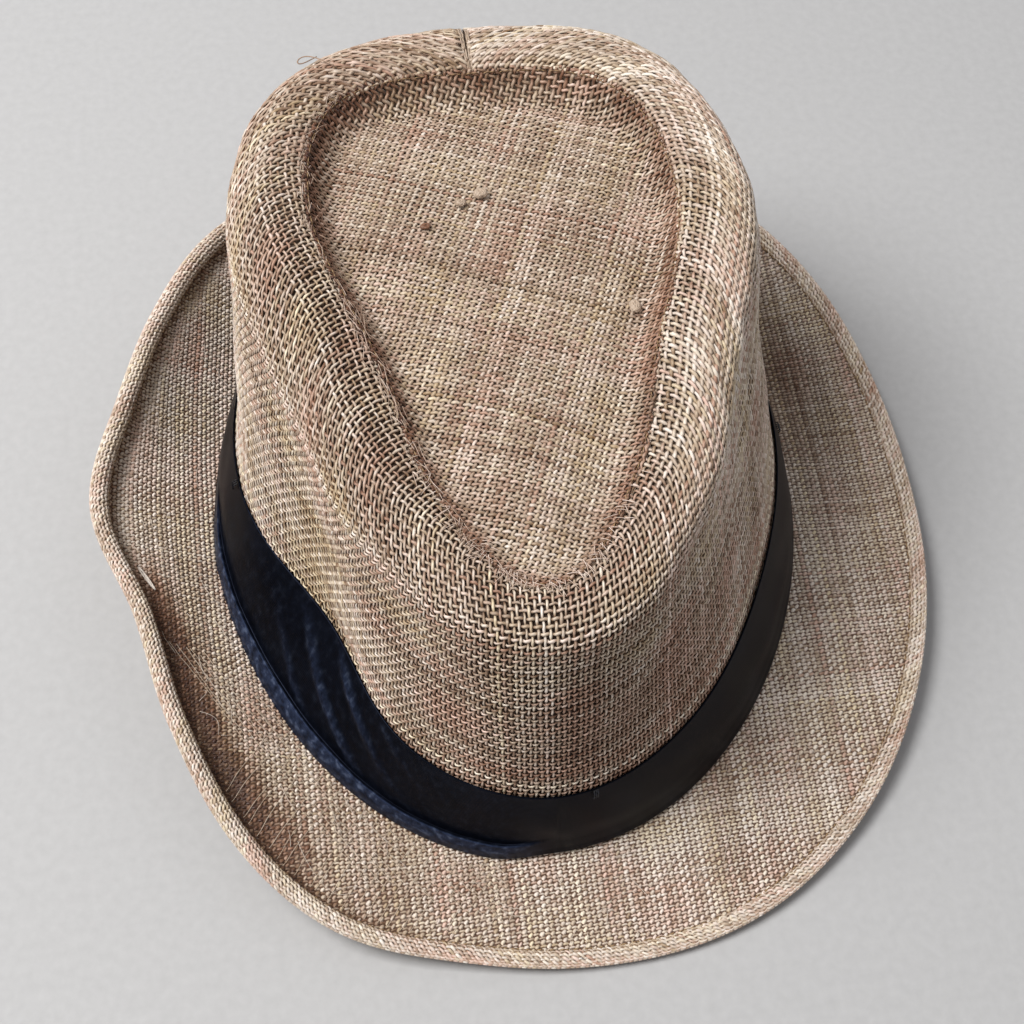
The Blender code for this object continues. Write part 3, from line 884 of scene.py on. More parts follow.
def roll_point(turn, angle, shrink=0.0):
    """Point on the roll round the brim's edge: 0 is its inner end on top, half a turn the edge."""
    tall = ROLL_LOW + (ROLL_HIGH - ROLL_LOW) * rolled(turn)
    half = ROLL_REACH / 2
    inset = half + (half - shrink) * np.cos(angle)
    above = (tall - shrink * 0.8) * np.sin(angle) + 0.5 * rolled(turn)
    return brim_point(turn, brim_width(turn) - inset, above)


def roll_spot(a, b):
    """Points of the roll from a distance along the edge and a distance round its section."""
    share = b / (ROLL_ROWS * BRIM_PITCH[1])
    angle = math.radians(14) + math.radians(332) * share
    turn = np.interp(np.mod(a, EDGE_LENGTH), edge_run, edge_turns)
    points = roll_point(turn, angle)
    centre = roll_point(turn, angle, ROLL_REACH / 2 - 0.4)
    normals = unit(points - centre)
    # Painted shade: the cloth is darker at the inner end of the roll, where it tucks down against the brim.
    marks = {"painted_shade": 0.25 * (1 - ease(share, 0, 0.14))}
    return points - normals * 0.35, normals, (b >= 0) & (share <= 1), marks


def slanted_roll(a, b):
    """The roll's cloth, cut on the slant."""
    return roll_spot(a + ROLL_LEAD * b, b)


roll_look = brim_look | {
    "width": {"warp": 0.46, "weft": 0.38},
    "slant": {"warp": 0.12, "weft": 0.0},
    "seed": 400,
}
ROLL_PITCH = 1.3
roll_count = int(EDGE_LENGTH / ROLL_PITCH)
roll_pieces = weave(
    "brim_binding",
    slanted_roll,
    np.arange(0, roll_count),
    np.arange(0, ROLL_ROWS + 1),
    (EDGE_LENGTH / roll_count, BRIM_PITCH[1]),
    roll_look,
)


# %% A ring of quads from a grid of points
def grid_piece(name, grid, material, closed=True, facts=None, thickness=0.0):
    """A sheet from a grid of points: rows up the sheet, columns round it."""
    rows, columns = grid.shape[:2]
    ids = np.arange(rows * columns).reshape(rows, columns)
    ahead = np.roll(ids, -1, axis=1) if closed else ids
    low, high = (ids[:-1], ids[1:]) if closed else (ids[:-1, :-1], ids[1:, :-1])
    low_next, high_next = (ahead[:-1], ahead[1:]) if closed else (ids[:-1, 1:], ids[1:, 1:])
    quads = np.stack([low, low_next, high_next, high], -1).reshape(-1, 4)
    piece = mesh_piece(name, grid.reshape(-1, 3), quads, material, facts)
    if thickness:
        shell = piece.modifiers.new("cloth thickness", "SOLIDIFY")
        shell.thickness = thickness * MM
        shell.offset = -1
    print(f"{name}: {rows} x {columns} points")
    return piece


# %% The padding inside the roll
def straw_facts(count, tone, warmth, fibre):
    """Tone, warmth and fibre direction for a sheet that is finished as straw."""
    return {
        "tone": ("FLOAT", np.full(count, tone)),
        "warmth": ("FLOAT", np.full(count, warmth)),
        "fibre": ("FLOAT_VECTOR", fibre.reshape(-1, 3)),
    }


core_turns = np.linspace(0, 1, 720, endpoint=False)
core_grid = np.array(
    [roll_point(core_turns, angle, 0.62) for angle in np.linspace(0, math.tau, 14, endpoint=False)]
)
core_grid = np.concatenate([core_grid, core_grid[:1]])
core_facts = straw_facts(core_grid[..., 0].size, 0.1, 0.5, core_grid)
roll_core = grid_piece("brim_binding_core", core_grid, straw, facts=core_facts)

# %% The interlining between the two faces of the brim cloth
# A thin dark brown sheet between the two faces of the brim cloth keeps light from coming through, so the
# gaps in the weave show dark.
lining_rows = []
place, out = oval(core_turns)
for share in np.linspace(0, 1, 40):
    flat_place = place + out * (-0.6 + (brim_width(core_turns) - 1.6) * share)[..., None]
    lining_rows.append(brim_spot(flat_place[..., 0], flat_place[..., 1])[0])
lining_grid = np.array(lining_rows)
lining_facts = straw_facts(lining_grid[..., 0].size, 0.1, 0.6, lining_grid)
interlining = grid_piece("brim_interlining", lining_grid, straw, facts=lining_facts, thickness=0.12)

# %% The gauze glued behind the crown
# A dark gauze sheet sits behind the crown's open weave, a guessed stiffening layer; its dark colour is
# painted shade for the shaded inside of the crown seen through the holes.
GAUZE_BEHIND = 1.25


def gauze_rows(rows, normals):
    """The same surface a little way behind the straw."""
    return rows - normals * GAUZE_BEHIND


gauze_grid = []
for share in np.linspace(0.002, 0.998, 84):
    ring_row = np.clip(share * (PROFILE_ROWS - 1), 0, PROFILE_ROWS - 1.001)
    low, part = int(ring_row), ring_row - int(ring_row)
    ring = (wall_rows[low] * (1 - part) + wall_rows[low + 1] * part)[::2][:-1]
    grid_normals = surface_normals(wall_rows[max(low - 1, 0) : low + 3])[min(low, 1)][::2][:-1]
    gauze_grid.append(gauze_rows(ring, grid_normals))
gauze_grid = np.array(gauze_grid)
gauze_flat = point(*np.meshgrid(TURNS[::2][:-1] * 500, np.linspace(0, 120, 84)), 0)
# Painted shade: the gauze is darkest at the front, paler at the sides and back.
gauze_painted_light = 0.05 + 0.85 * closeness(gauze_flat[..., 0] / 500)
gauze_facts = {
    "cloth": ("FLOAT_VECTOR", gauze_flat.reshape(-1, 3)),
    "tone": ("FLOAT", gauze_painted_light.ravel()),
}
wall_gauze = grid_piece("crown_wall_gauze", gauze_grid, gauze, facts=gauze_facts, thickness=0.12)
ring_turns = np.linspace(0, 1, 360, endpoint=False)
disc = []
edge = inner_slope(ring_turns, wave(SEAM_INSETS, ring_turns) - 0.5)
for share in np.linspace(0, 1, 60):
    flat_x = (edge[:, 0] - CREST_CENTRE[0]) * (1 - 0.995 * share)
    flat_y = (edge[:, 1] - CREST_CENTRE[1]) * (1 - 0.995 * share)
    found = look_up(tip_table, flat_y - PLAN_Y[0], flat_x - PLAN_X[0])
    up = unit(point(-found[..., 2], -found[..., 3], 1.0))
    spots = point(flat_x + CREST_CENTRE[0], flat_y + CREST_CENTRE[1], found[..., 0])
    disc.append(gauze_rows(spots, up))
disc = np.array(disc)
# The top panel's gauze takes the paler colour everywhere.
disc_facts = {
    "cloth": ("FLOAT_VECTOR", disc.reshape(-1, 3)),
    "tone": ("FLOAT", np.full(disc[..., 0].size, 1.0)),
}
tip_gauze = grid_piece("crown_tip_gauze", disc, gauze, facts=disc_facts, thickness=0.12)

# %% [markdown]
# ## Satin band
# The band is a strip of black polyester satin. Satin floats its threads over several others, so
# it has no visible weave, only a soft directional gloss, bluish where it catches the sky. On the
# curled side its lower part is turned outwards in a lip with a sharp crease, and the strip pulls
# into slanting wrinkles above it.


# %% Black satin
def black_satin(name):
    """Dyed polyester satin: deep black, a faint real sheen, fine float lines; the stronger blue sheen is
    painted into the colour.
    """
    made, tree, shader = new_material(name)
    cloth = add(tree, "ShaderNodeAttribute", attribute_name="cloth").outputs["Vector"]
    # Satin floats are about 0.1 mm apart; they are drawn at 0.5 mm, because finer ones vanish.
    lines = add(
        tree,
        "ShaderNodeTexWave",
        {"Vector": cloth, "Scale": 0.65, "Distortion": 1.5, "Detail": 2.0, "Detail Scale": 1.4},
        bands_direction="Y",
    )
    cloud = add(tree, "ShaderNodeTexNoise", {"Vector": cloth, "Scale": 0.09, "Detail": 2.0})
    stops = ((0.35, "#040406"), (0.6, "#06070B"), (0.85, "#0B0E16"))
    black = add(tree, "ShaderNodeValToRGB", {"Fac": cloud.outputs["Fac"]}, stops)
    # Painted sheen: on the lip and in the wrinkles the colour is mixed towards a mottled navy.
    mottle = add(tree, "ShaderNodeTexNoise", {"Vector": cloth, "Scale": 0.45, "Detail": 4.0})
    stops = ((0.35, "#171C29"), (0.55, "#2D364C"), (0.8, "#69758E"))
    navy = add(tree, "ShaderNodeValToRGB", {"Fac": mottle.outputs["Fac"]}, stops)
    painted_sheen = add(tree, "ShaderNodeAttribute", attribute_name="tone").outputs["Fac"]
    dye = add(
        tree,
        "ShaderNodeMix",
        {"Factor": painted_sheen, 6: black.outputs["Color"], 7: navy.outputs["Color"]},
        data_type="RGBA",
    )
    gloss = add(
        tree,
        "ShaderNodeMapRange",
        {"Value": lines.outputs["Fac"], "To Min": 0.3, "To Max": 0.42},
    )
    relief = add(
        tree, "ShaderNodeBump", {"Height": lines.outputs["Fac"], "Strength": 0.12, "Distance": 0.0002}
    )
    tree.links.new(dye.outputs[2], shader.inputs["Base Color"])
    tree.links.new(gloss.outputs[0], shader.inputs["Roughness"])
    tree.links.new(relief.outputs[0], shader.inputs["Normal"])
    shader.inputs["IOR"].default_value = 1.46
    shader.inputs["Specular IOR Level"].default_value = 0.13
    shader.inputs["Specular Tint"].default_value = srgb("#A9B8E8")
    shader.inputs["Sheen Weight"].default_value = 0.02
    shader.inputs["Sheen Roughness"].default_value = 0.35
    shader.inputs["Sheen Tint"].default_value = srgb("#6C7FB8")
    return made


satin = black_satin("black_satin")

# %% The band's section, from its lower edge to its top edge
BAND_ROWS, BAND_TALL = 60, 28.0
BAND_ROUND = 560.0  # the band's wrinkles are laid out along this length
BAND_KNOTS = np.array((0.0, 0.12, 0.24, 0.28, 0.5, 1.0))
PLAIN_BAND = np.array(((1.9, 1.6), (4.0, 1.2), (8.0, 0.95), (9.5, 0.95), (14.0, 0.95), (28.2, 0.9)))
LIPPED_BAND = np.array(((1.4, 3.3), (4.4, 3.2), (7.8, 2.7), (6.2, 1.2), (13.0, 0.9), (28.2, 0.9)))


def cloth_facts(flat):
    """Where each point of a sheet lies on the flat cloth it was cut from."""
    return {"cloth": ("FLOAT_VECTOR", flat.reshape(-1, 3))}


def band_grid():
    """Rows of the band round the head, with the lip folded out on the curled side."""
    turns = np.linspace(0, 1, 960, endpoint=False)
    fold = ease(turns, 0.72, 0.77) * (1 - ease(turns, 0.965, 1.0))
    pulled = near(turns, 0.862, 0.034)
    run = turns * BAND_ROUND
    rows, tones = [], []
    for share in np.linspace(0, 1, BAND_ROWS):
        plain = [np.interp(share, BAND_KNOTS, PLAIN_BAND[:, axis]) for axis in (0, 1)]
        lipped = [np.interp(share, BAND_KNOTS, LIPPED_BAND[:, axis]) for axis in (0, 1)]
        height, proud = (p + (q - p) * fold for p, q in zip(plain, lipped))
        middle = math.sin(math.pi * min(1.0, share * 1.02))
        crinkle = 0.35 * ripple(run + 26 * share, 40 * share + run * 0.35, 22, 41)
        slanted = (28 * share + 0.42 * run) / 9.0 * math.tau + 0.6 * ripple(run, 30 * share, 34, 43)
        upper = ease(share, 0.3, 0.42) * (1 - ease(share, 0.85, 1.0))
        pull = pulled * np.maximum(0, np.sin(slanted)) ** 2 * upper
        rows.append(wall_point(turns, height, proud + middle * (crinkle * 0.5 + 0.35) + 0.55 * pull))
        # Painted sheen: the lip, brightest up at its crease, and the pulled wrinkles get a share of navy in
        # the satin's colour.
        lip = fold * (1 - ease(share, 0.24, 0.27)) * (0.5 + 0.5 * ease(share, 0.0, 0.22))
        tones.append(np.clip(0.85 * lip + 0.55 * pull + 0.05 * fold, 0, 1))
    flat = point(*np.meshgrid(turns * HEAD_ROUND, np.linspace(0, BAND_TALL, BAND_ROWS)), 0)
    return np.array(rows), cloth_facts(flat) | {"tone": ("FLOAT", np.array(tones).ravel())}


band_points, band_facts = band_grid()
band = grid_piece("hat_band", band_points, satin, facts=band_facts, thickness=0.4)


# %% The tab that covers the band's join at the back
def tab_piece(name, turn, width, low, high, proud, material, thickness, wrap=0.0):
    """A small folded tab that lies along the crown wall."""
    spread = width / (math.pi * (HALF_LENGTH + HALF_WIDTH)) / 2
    across = np.linspace(-1, 1, 17)
    rows = []
    for share in np.linspace(0, 1, 22):
        height = low + (high - low) * share
        puff = 0.35 * (1 - across**4) * (0.4 + 0.6 * math.sin(math.pi * share)) + wrap * (across**8)
        rows.append(wall_point(turn + across * spread, height, proud + puff))
    grid = np.array(rows)
    flat = point(*np.meshgrid(across * width / 2, np.linspace(0, high - low, 22)), 0)
    return grid_piece(name, grid, material, closed=False, facts=cloth_facts(flat), thickness=thickness)


band_tab = tab_piece("band_tab", 0.5, 12.0, 2.0, 28.6, 1.9, satin, 0.5, wrap=-0.6)

# %% [markdown]
# ## Sweatband
# Inside the opening sits a cotton tape, sewn along the lower edge. It is a plain weave of matt
# cotton: small regular bumps, almost no gloss, a little darker where fingers and heads touch it.


# %% Cotton tape
def cotton_tape(name, deep, pale):
    """Undyed cotton tape: matt, close plain weave."""
    made, tree, shader = new_material(name)
    cloth = add(tree, "ShaderNodeAttribute", attribute_name="cloth").outputs["Vector"]
    # Threads 0.8 mm apart, twice as coarse as real tape, so that the weave shows.
    ribs = [
        add(tree, "ShaderNodeTexWave", {"Vector": cloth, "Scale": 0.4}, bands_direction=way)
        for way in ("X", "Y")
    ]
    bumps = add(
        tree, "ShaderNodeMath", {0: ribs[0].outputs["Fac"], 1: ribs[1].outputs["Fac"]}, operation="MULTIPLY"
    )
    wear = add(tree, "ShaderNodeTexNoise", {"Vector": cloth, "Scale": 0.12, "Detail": 4.0})
    mixed = add(
        tree,
        "ShaderNodeMath",
        {0: bumps.outputs[0], 1: 0.5, 2: wear.outputs["Fac"]},
        operation="MULTIPLY_ADD",
    )
    dye = add(tree, "ShaderNodeValToRGB", {"Fac": mixed.outputs[0]}, ((0.35, deep), (0.95, pale)))
    relief = add(tree, "ShaderNodeBump", {"Height": bumps.outputs[0], "Strength": 0.5, "Distance": 0.0004})
    tree.links.new(dye.outputs["Color"], shader.inputs["Base Color"])
    tree.links.new(relief.outputs[0], shader.inputs["Normal"])
    shader.inputs["Roughness"].default_value = 0.85
    shader.inputs["Sheen Weight"].default_value = 0.25
    return made


tape = cotton_tape("cotton_tape", "#8F7350", "#CDB893")

# %% The sweatband and the tab over its join
TAPE_FACE = -(2 * STRAW + 2 * GAP)
SWEAT_HEIGHTS = np.concatenate([np.linspace(0.9, 27.4, 24), (28.3, 28.9, 28.3)])
SWEAT_PROUD = np.concatenate([np.full(24, 0.0), (-0.05, -0.35, -0.7)])
SWEAT_ROUND, SWEAT_TALL = 560.0, 30.0


def sweatband_grid():
    """Rows of the sweatband, slightly wavy, with its top edge turned over."""
    turns = np.linspace(0, 1, 720, endpoint=False)
    rows = []
    for height, proud in zip(SWEAT_HEIGHTS, SWEAT_PROUD):
        slack = 0.28 * (1 + ripple(turns * HEAD_ROUND, height, 26, 51)) * ease(height, 2, 14)
        rows.append(wall_point(turns, height, TAPE_FACE - 0.15 + proud - slack))
    flat = point(*np.meshgrid(turns * SWEAT_ROUND, np.linspace(0, SWEAT_TALL, len(rows))), 0)
    return np.array(rows), flat


sweat_points, sweat_flat = sweatband_grid()
sweatband = grid_piece("sweatband", sweat_points, tape, facts=cloth_facts(sweat_flat), thickness=0.4)
sweat_tab = tab_piece("sweatband_join", 0.5, 12.0, 3.0, 28.0, TAPE_FACE - 2.0, tape, 0.5)

# %% [markdown]
# ## Sewing
# A row of machine stitches shows as short, slightly slanting bars that dive into the cloth at
# both ends. Each stitch is its own little tube, so the light catches it separately.


# %% Spun sewing thread
def spun_thread(name, deep, pale):
    """Two-ply sewing thread: a fine twist and a dull gloss."""
    made, tree, shader = new_material(name)
    fibre = add(tree, "ShaderNodeAttribute", attribute_name="fibre").outputs["Vector"]
    # The plies turn once in 0.8 mm.
    twist = add(
        tree,
        "ShaderNodeTexWave",
        {"Vector": fibre, "Scale": 0.4, "Distortion": 2.0},
        bands_direction="DIAGONAL",
    )
    dye = add(tree, "ShaderNodeValToRGB", {"Fac": twist.outputs["Fac"]}, ((0.2, deep), (0.8, pale)))
    relief = add(
        tree, "ShaderNodeBump", {"Height": twist.outputs["Fac"], "Strength": 0.4, "Distance": 0.0002}
    )
    tree.links.new(dye.outputs["Color"], shader.inputs["Base Color"])
    tree.links.new(relief.outputs[0], shader.inputs["Normal"])
    shader.inputs["Roughness"].default_value = 0.6
    return made


sewing_thread = spun_thread("tan_sewing_thread", "#6E5236", "#A88A63")
black_thread = spun_thread("black_sewing_thread", "#0B0B0F", "#20222B")

# %% Rows of stitches
STITCH_SHAPE = np.array((-0.5, 0.35, 0.6, 0.6, 0.35, -0.5))


def stitch_row(name, place, length, pitch, share, radius, material, lift=1.0):
    """Stitches along a line; place turns distances along it into points and normals."""
    count = int(length / pitch)
    starts = np.arange(count)[:, None] * (length / count)
    spots = starts + np.linspace(0, share, len(STITCH_SHAPE))[None] * pitch
    points, normals = place(spots)
    centre = points + normals * (STITCH_SHAPE * radius * 2 * lift)[None, :, None]
    full = np.full(spots.shape, radius)
    there = np.ones(spots.shape, bool)
    return thread_piece(name, centre, normals, full, full, there, full * 0 + 0.5, full * 0 + 0.3, material)


CROWN_SEAM_ROUND = 330.0


def on_groove(run):
    """Places in the groove, between the wall strip and the top panel."""
    turn = run / CROWN_SEAM_ROUND
    below = inner_slope(turn, wave(SEAM_INSETS, turn) + 0.5) - point(0, 0, 0.5)
    return below, point(0, 0, 1) + 0 * below


def on_binding(run):
    """Places along the inner edge of the roll."""
    turn = np.interp(np.mod(run, EDGE_LENGTH), edge_run, edge_turns)
    angle = math.radians(24)
    low, high = roll_point(turn, angle), roll_point(turn, angle + 0.3)
    up = unit(brim_point(turn, brim_width(turn) - 4, 1.0) - brim_point(turn, brim_width(turn) - 4, 0))
    return low * 0.8 + high * 0.2, up


def on_sweatband(run):
    """Places along the lower edge of the sweatband, facing the wearer's head."""
    turn = run / SWEAT_ROUND
    return wall_point(turn, 2.0, TAPE_FACE - 0.75), -oval(turn)[1]


seam_stitches = stitch_row("tip_seam_stitches", on_groove, CROWN_SEAM_ROUND, 3.2, 0.75, 0.16, sewing_thread)
binding_stitches = stitch_row("binding_stitches", on_binding, EDGE_LENGTH, 3.4, 0.7, 0.2, sewing_thread)
sweat_stitches = stitch_row("sweatband_stitches", on_sweatband, SWEAT_ROUND, 3.0, 0.75, 0.24, sewing_thread)

# %% Bar tacks that hold the band to the crown
TACKS = {"front": 0.02, "plus_x": 0.25, "back": 0.46, "minus_x": 0.75}


def tack_piece(side, turn):
    """Three close stitches over the top edge of the band."""
    rows = np.linspace(-1, 1, 3)[:, None] * 0.0011 + turn
    rise = np.linspace(0, 1, 7)[None]
    turns = rows + 0.0006 * rise
    heights = 25.6 + 3.2 * rise + 0 * turns
    proud = 1.55 + 0.75 * np.sin(math.pi * rise) ** 0.6 + 0 * turns
    centre = wall_point(turns, heights, proud)
    full = np.full(turns.shape, 0.2)
    there = np.ones(turns.shape, bool)
    normal = oval(turns)[1]
    name = f"band_tack_{side}_stitches"
    return thread_piece(name, centre, normal, full, full, there, full, full, black_thread)


tacks = {side: tack_piece(side, turn) for side, turn in TACKS.items()}

# %% [markdown]
# ## Frayed ends and loose fibres
# Paper straw sheds. Short ends stand up along the cut edge of the top panel at the front, fine
# long fibres lie across the brim, and here and there a loop has pulled out of the cloth.


# %% Loose fibres as very thin threads
def hair_piece(name, roots, directions, lifts, lengths, radius, tone, warm=0.7, curl=0.1):
    """Curved fibres from root points, each leaning its own way and lying back on the cloth."""
    share = np.linspace(0, 1, 9)[None, :, None]
    bend = chance.normal(0, curl, (len(roots), 1, 3)) * share**2
    arch = lifts[:, None] * np.sin(math.pi * share * 0.9)
    centre = roots[:, None] + (directions[:, None] * share + bend) * lengths[:, None, None] + arch
    width = radius * (1 - 0.6 * share[..., 0]) * np.ones((len(roots), 1))
    there = np.ones(width.shape, bool)
    normal = np.broadcast_to(point(0, 0.2, 1.0), centre.shape)
    tones = np.clip(tone + chance.normal(0, 0.1, (len(roots), 1)) + 0 * width, 0, 1)
    return thread_piece(name, centre, normal, width, width, there, tones, 0 * width + warm, straw)


FRAYS = 130
fray_turns = chance.normal(-0.005, 0.04, FRAYS)
fray_insets = wave(SEAM_INSETS, fray_turns) + chance.normal(0.8, 0.9, FRAYS)
fray_roots = inner_slope(fray_turns, fray_insets) + point(0, 0, 0.2)
fray_ways = unit(crest_out(fray_turns) + chance.normal(0, 0.6, (FRAYS, 3)) * (1, 1, 0.3) + point(0, 0, 0.12))
frayed = hair_piece(
    "tip_frayed_ends", fray_roots, fray_ways, point(0, 0, chance.uniform(0.1, 0.7, FRAYS)),
    chance.uniform(1.8, 5.0, FRAYS), 0.12, 0.82,
)

SEAM_FIBRES = 170
strand_turns = chance.uniform(0.58, 0.99, SEAM_FIBRES)
strand_insets = wave(SEAM_INSETS, strand_turns) + chance.normal(-0.4, 1.3, SEAM_FIBRES)
strand_roots = inner_slope(strand_turns, strand_insets) + point(0, 0, 0.35)
strand_aims = strand_turns + 0.008 * chance.choice((-1, 1), SEAM_FIBRES)
strand_ends = inner_slope(strand_aims, strand_insets) + point(0, 0, 0.35)
strand_ways = unit(unit(strand_ends - strand_roots) + chance.normal(0, 0.25, (SEAM_FIBRES, 3)) * (1, 1, 0.2))
seam_fibres = hair_piece(
    "crown_seam_fibres", strand_roots, strand_ways, point(0, 0, chance.uniform(0.1, 0.5, SEAM_FIBRES)),
    chance.uniform(2.0, 6.0, SEAM_FIBRES), 0.1, 0.66,
)

HAIRS = 170
EDGE_ROUGHLY = 680.0
hair_run = np.linspace(0, 1, 12)[None]
hair_turns = chance.uniform(0, 1, (HAIRS, 1))
hair_outs = chance.uniform(5, 27, (HAIRS, 1))
heading = chance.uniform(0, math.tau, (HAIRS, 1))
hair_long = chance.uniform(4, 15, (HAIRS, 1)) * hair_run
hair_bend = chance.normal(0, 1.5, (HAIRS, 1)) * np.sin(math.pi * hair_run)
hair_points = brim_point(
    hair_turns + hair_long * np.cos(heading) / EDGE_ROUGHLY,
    np.clip(hair_outs + 0.5 * hair_long * np.sin(heading) + hair_bend, 2, 29),
    0.8 + 0.4 * np.sin(math.pi * hair_run * 0.9),
)
hair_full = 0.08 * (1 - 0.5 * hair_run) + 0 * hair_turns
brim_hairs = thread_piece(
    "brim_loose_fibres", hair_points, np.broadcast_to(point(0, 0.2, 1.0), hair_points.shape), hair_full,
    hair_full, hair_full > 0, hair_full * 0 + 0.82, hair_full * 0 + 0.5, straw,
)

# %% Long fibres that lie slantwise over the curled side of the brim
LONG_FIBRES = 30


def slant_fibres(name, lean, seed):
    """Long fine fibres across the curled front corner of the brim, all leaning the same way."""
    picks = np.random.default_rng(seed)
    offset = (np.arange(LONG_FIBRES) * 3.1 + picks.normal(0, 0.5, LONG_FIBRES))[:, None]
    run = np.linspace(-42, 42, 96)[None] + picks.normal(0, 4, (LONG_FIBRES, 1))
    drift = 0.5 * np.sin(run / 9 + picks.uniform(0, math.tau, (LONG_FIBRES, 1)))
    a = -80 + offset + lean * (run * 0.62) + drift
    b = -72 - 0.5 * offset + run * 0.8
    points, normals, there, _ = brim_spot(a, b)
    turn, along = round_and_out(a, b)
    side = np.mod(turn, 1.0)
    there &= (side > 0.79) & (side < 0.975) & (along > 4) & (along < brim_width(turn) - 6)
    width = np.full(a.shape, 0.065)
    tone = np.full(a.shape, 0.76) + picks.normal(0, 0.06, (LONG_FIBRES, 1))
    lifted = points + normals * (0.62 + 0.1 * np.sin(run * 1.3))[..., None]
    return thread_piece(name, lifted, normals, width, width, there, tone, width * 0 + 0.3, straw)


long_fibres = [slant_fibres("brim_long_fibres_1", 1, 61), slant_fibres("brim_long_fibres_2", -1, 62)]


# %% Knots, a pulled loop and a wisp of lint
def tangle_piece(name, centre, spread, count, radius, tone, warm, slew=0.0):
    """A small tangle of thread round a point; spread is half its size, slew leans it sideways."""
    run = np.linspace(0, 1, 48)[None]
    ways = []
    for half in spread:
        pace = chance.uniform(0.6, 2.6, (count, 1)) * math.tau
        ways.append(half * np.sin(pace * run + chance.uniform(0, math.tau, (count, 1))))
    ways = np.stack(ways, -1)
    reach = np.linalg.norm(ways / np.array(spread), axis=-1, keepdims=True)
    ways = ways / np.maximum(1, reach)
    sideways = ways[..., 0] - slew * ways[..., 1]
    points = centre + point(sideways, ways[..., 1], np.abs(ways[..., 2]) + radius)
    width = np.full(run.shape, radius) * chance.uniform(0.7, 1.2, (count, 1))
    return thread_piece(
        name, points, np.broadcast_to(point(0.1, 0.2, 1.0), points.shape), width, width, width > 0,
        width * 0 + tone, width * 0 + warm, straw,
    )


def on_tip(x, y):
    """Point on the top panel over a place in plan, measured from the crest's centre."""
    found = look_up(tip_table, np.array([y - PLAN_Y[0]]), np.array([x - PLAN_X[0]]))[0]
    return point(x + CREST_CENTRE[0], y + CREST_CENTRE[1], found[0] + 0.2)


knots = [
    tangle_piece("tip_knot_1", on_tip(-2.0, 34.5), (1.7, 1.5, 1.2), 9, 0.28, 0.6, 0.5),
    tangle_piece("tip_knot_2", on_tip(-7.5, 32.0), (1.3, 1.0, 0.9), 7, 0.26, 0.56, 0.5),
    tangle_piece("tip_knot_3", on_tip(32.5, -4.0), (1.3, 2.0, 1.0), 9, 0.26, 0.6, 0.5),
    tangle_piece("tip_fleck", on_tip(-17.5, 25.0), (1.3, 0.9, 0.6), 6, 0.26, 0.3, 1.0),
]
lint_at = brim_point(np.array([0.776]), np.array([28.5]), 0.9)[0]
lint = tangle_piece("brim_lint", lint_at, (0.55, 4.2, 0.8), 7, 0.11, 1.0, 0.5, slew=0.55)
loop_run = np.linspace(0, 1, 40)[None]
loop_root = crest_top(np.array([0.572]))[0] + point(0, 0, 0.2)
loop_points = loop_root + point(
    -9.5 * np.sin(math.pi * loop_run * 0.85), 2.0 * np.sin(math.tau * loop_run) + 5 * loop_run,
    1.2 * np.sin(math.pi * loop_run) - 1.5 * loop_run,
)
loop_full = np.full(loop_run.shape, 0.2)
pulled_loop = thread_piece(
    "crown_pulled_loop", loop_points, np.broadcast_to(point(0, 0.1, 1.0), loop_points.shape), loop_full,
    loop_full, loop_full > 0, loop_full + 0.3, loop_full + 0.5, straw,
)

# %% [markdown]
# ## Hand the pieces over
# Every piece rides on the hat's one body, and the solid it stands for is hidden.

# %% Ride and replace
woven = {
    "crown_side": wall_pieces + [back_seam, wall_gauze, pulled_loop],
    "crown_tip": tip_pieces + [frayed, seam_fibres, tip_gauze] + knots,
    "brim": brim_pieces + collar_pieces + [interlining, brim_hairs, lint] + long_fibres,
    "brim_binding": roll_pieces + [roll_core],
}
dressed = {
    "hat_band": (band, "satin"),
    "band_tab": (band_tab, "satin"),
    "sweatband": (sweatband, "tape"),
    "sweatband_join": (sweat_tab, "tape"),
    "tip_seam_thread": (seam_stitches, "thread"),
    "binding_thread": (binding_stitches, "thread"),
    "sweatband_thread": (sweat_stitches, "thread"),
}
for side, piece in tacks.items():
    dressed[f"band_tack_{side}"] = (piece, "thread")
for node, made in woven.items():
    for piece in made:
        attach(piece, "root")
        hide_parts(node)
for node, (piece, finish) in dressed.items():
    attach(piece, "root")
    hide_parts(node)
print("pieces made:", sum(len(made) for made in woven.values()) + len(dressed))

# %% [markdown]
# ## Spring wire
# The wire inside the roll is drawn steel. It is hidden, but it is made as carefully as the rest:
# a round section carried along the brim's edge, with fine lines along the draw.

# %% Drawn spring steel
steel, steel_tree, steel_shader = new_material("drawn_spring_steel")
where = add(steel_tree, "ShaderNodeTexCoord").outputs["Object"]
draw = add(steel_tree, "ShaderNodeTexNoise", {"Vector": where, "Scale": 900.0, "Detail": 3.0})
steel_stops = ((0.3, "#8B8C8E"), (0.7, "#B9BABD"))
tint = add(steel_tree, "ShaderNodeValToRGB", {"Fac": draw.outputs["Fac"]}, steel_stops)
brush = add(
    steel_tree, "ShaderNodeMapRange", {"Value": draw.outputs["Fac"], "To Min": 0.25, "To Max": 0.45}
)
steel_tree.links.new(tint.outputs["Color"], steel_shader.inputs["Base Color"])
steel_tree.links.new(brush.outputs[0], steel_shader.inputs["Roughness"])
steel_shader.inputs["Metallic"].default_value = 1.0
wire_turns = np.linspace(0, 1, 720, endpoint=False)
wire_rings = []
for angle in np.linspace(0, math.tau, 9):
    inset, above = 2.2 + 0.6 * math.cos(angle), 0.6 * math.sin(angle)
    wire_rings.append(brim_point(wire_turns, brim_width(wire_turns) - inset, above))
wire = grid_piece("spring_wire", np.array(wire_rings), steel)
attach(wire, "root")
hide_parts("brim_wire")

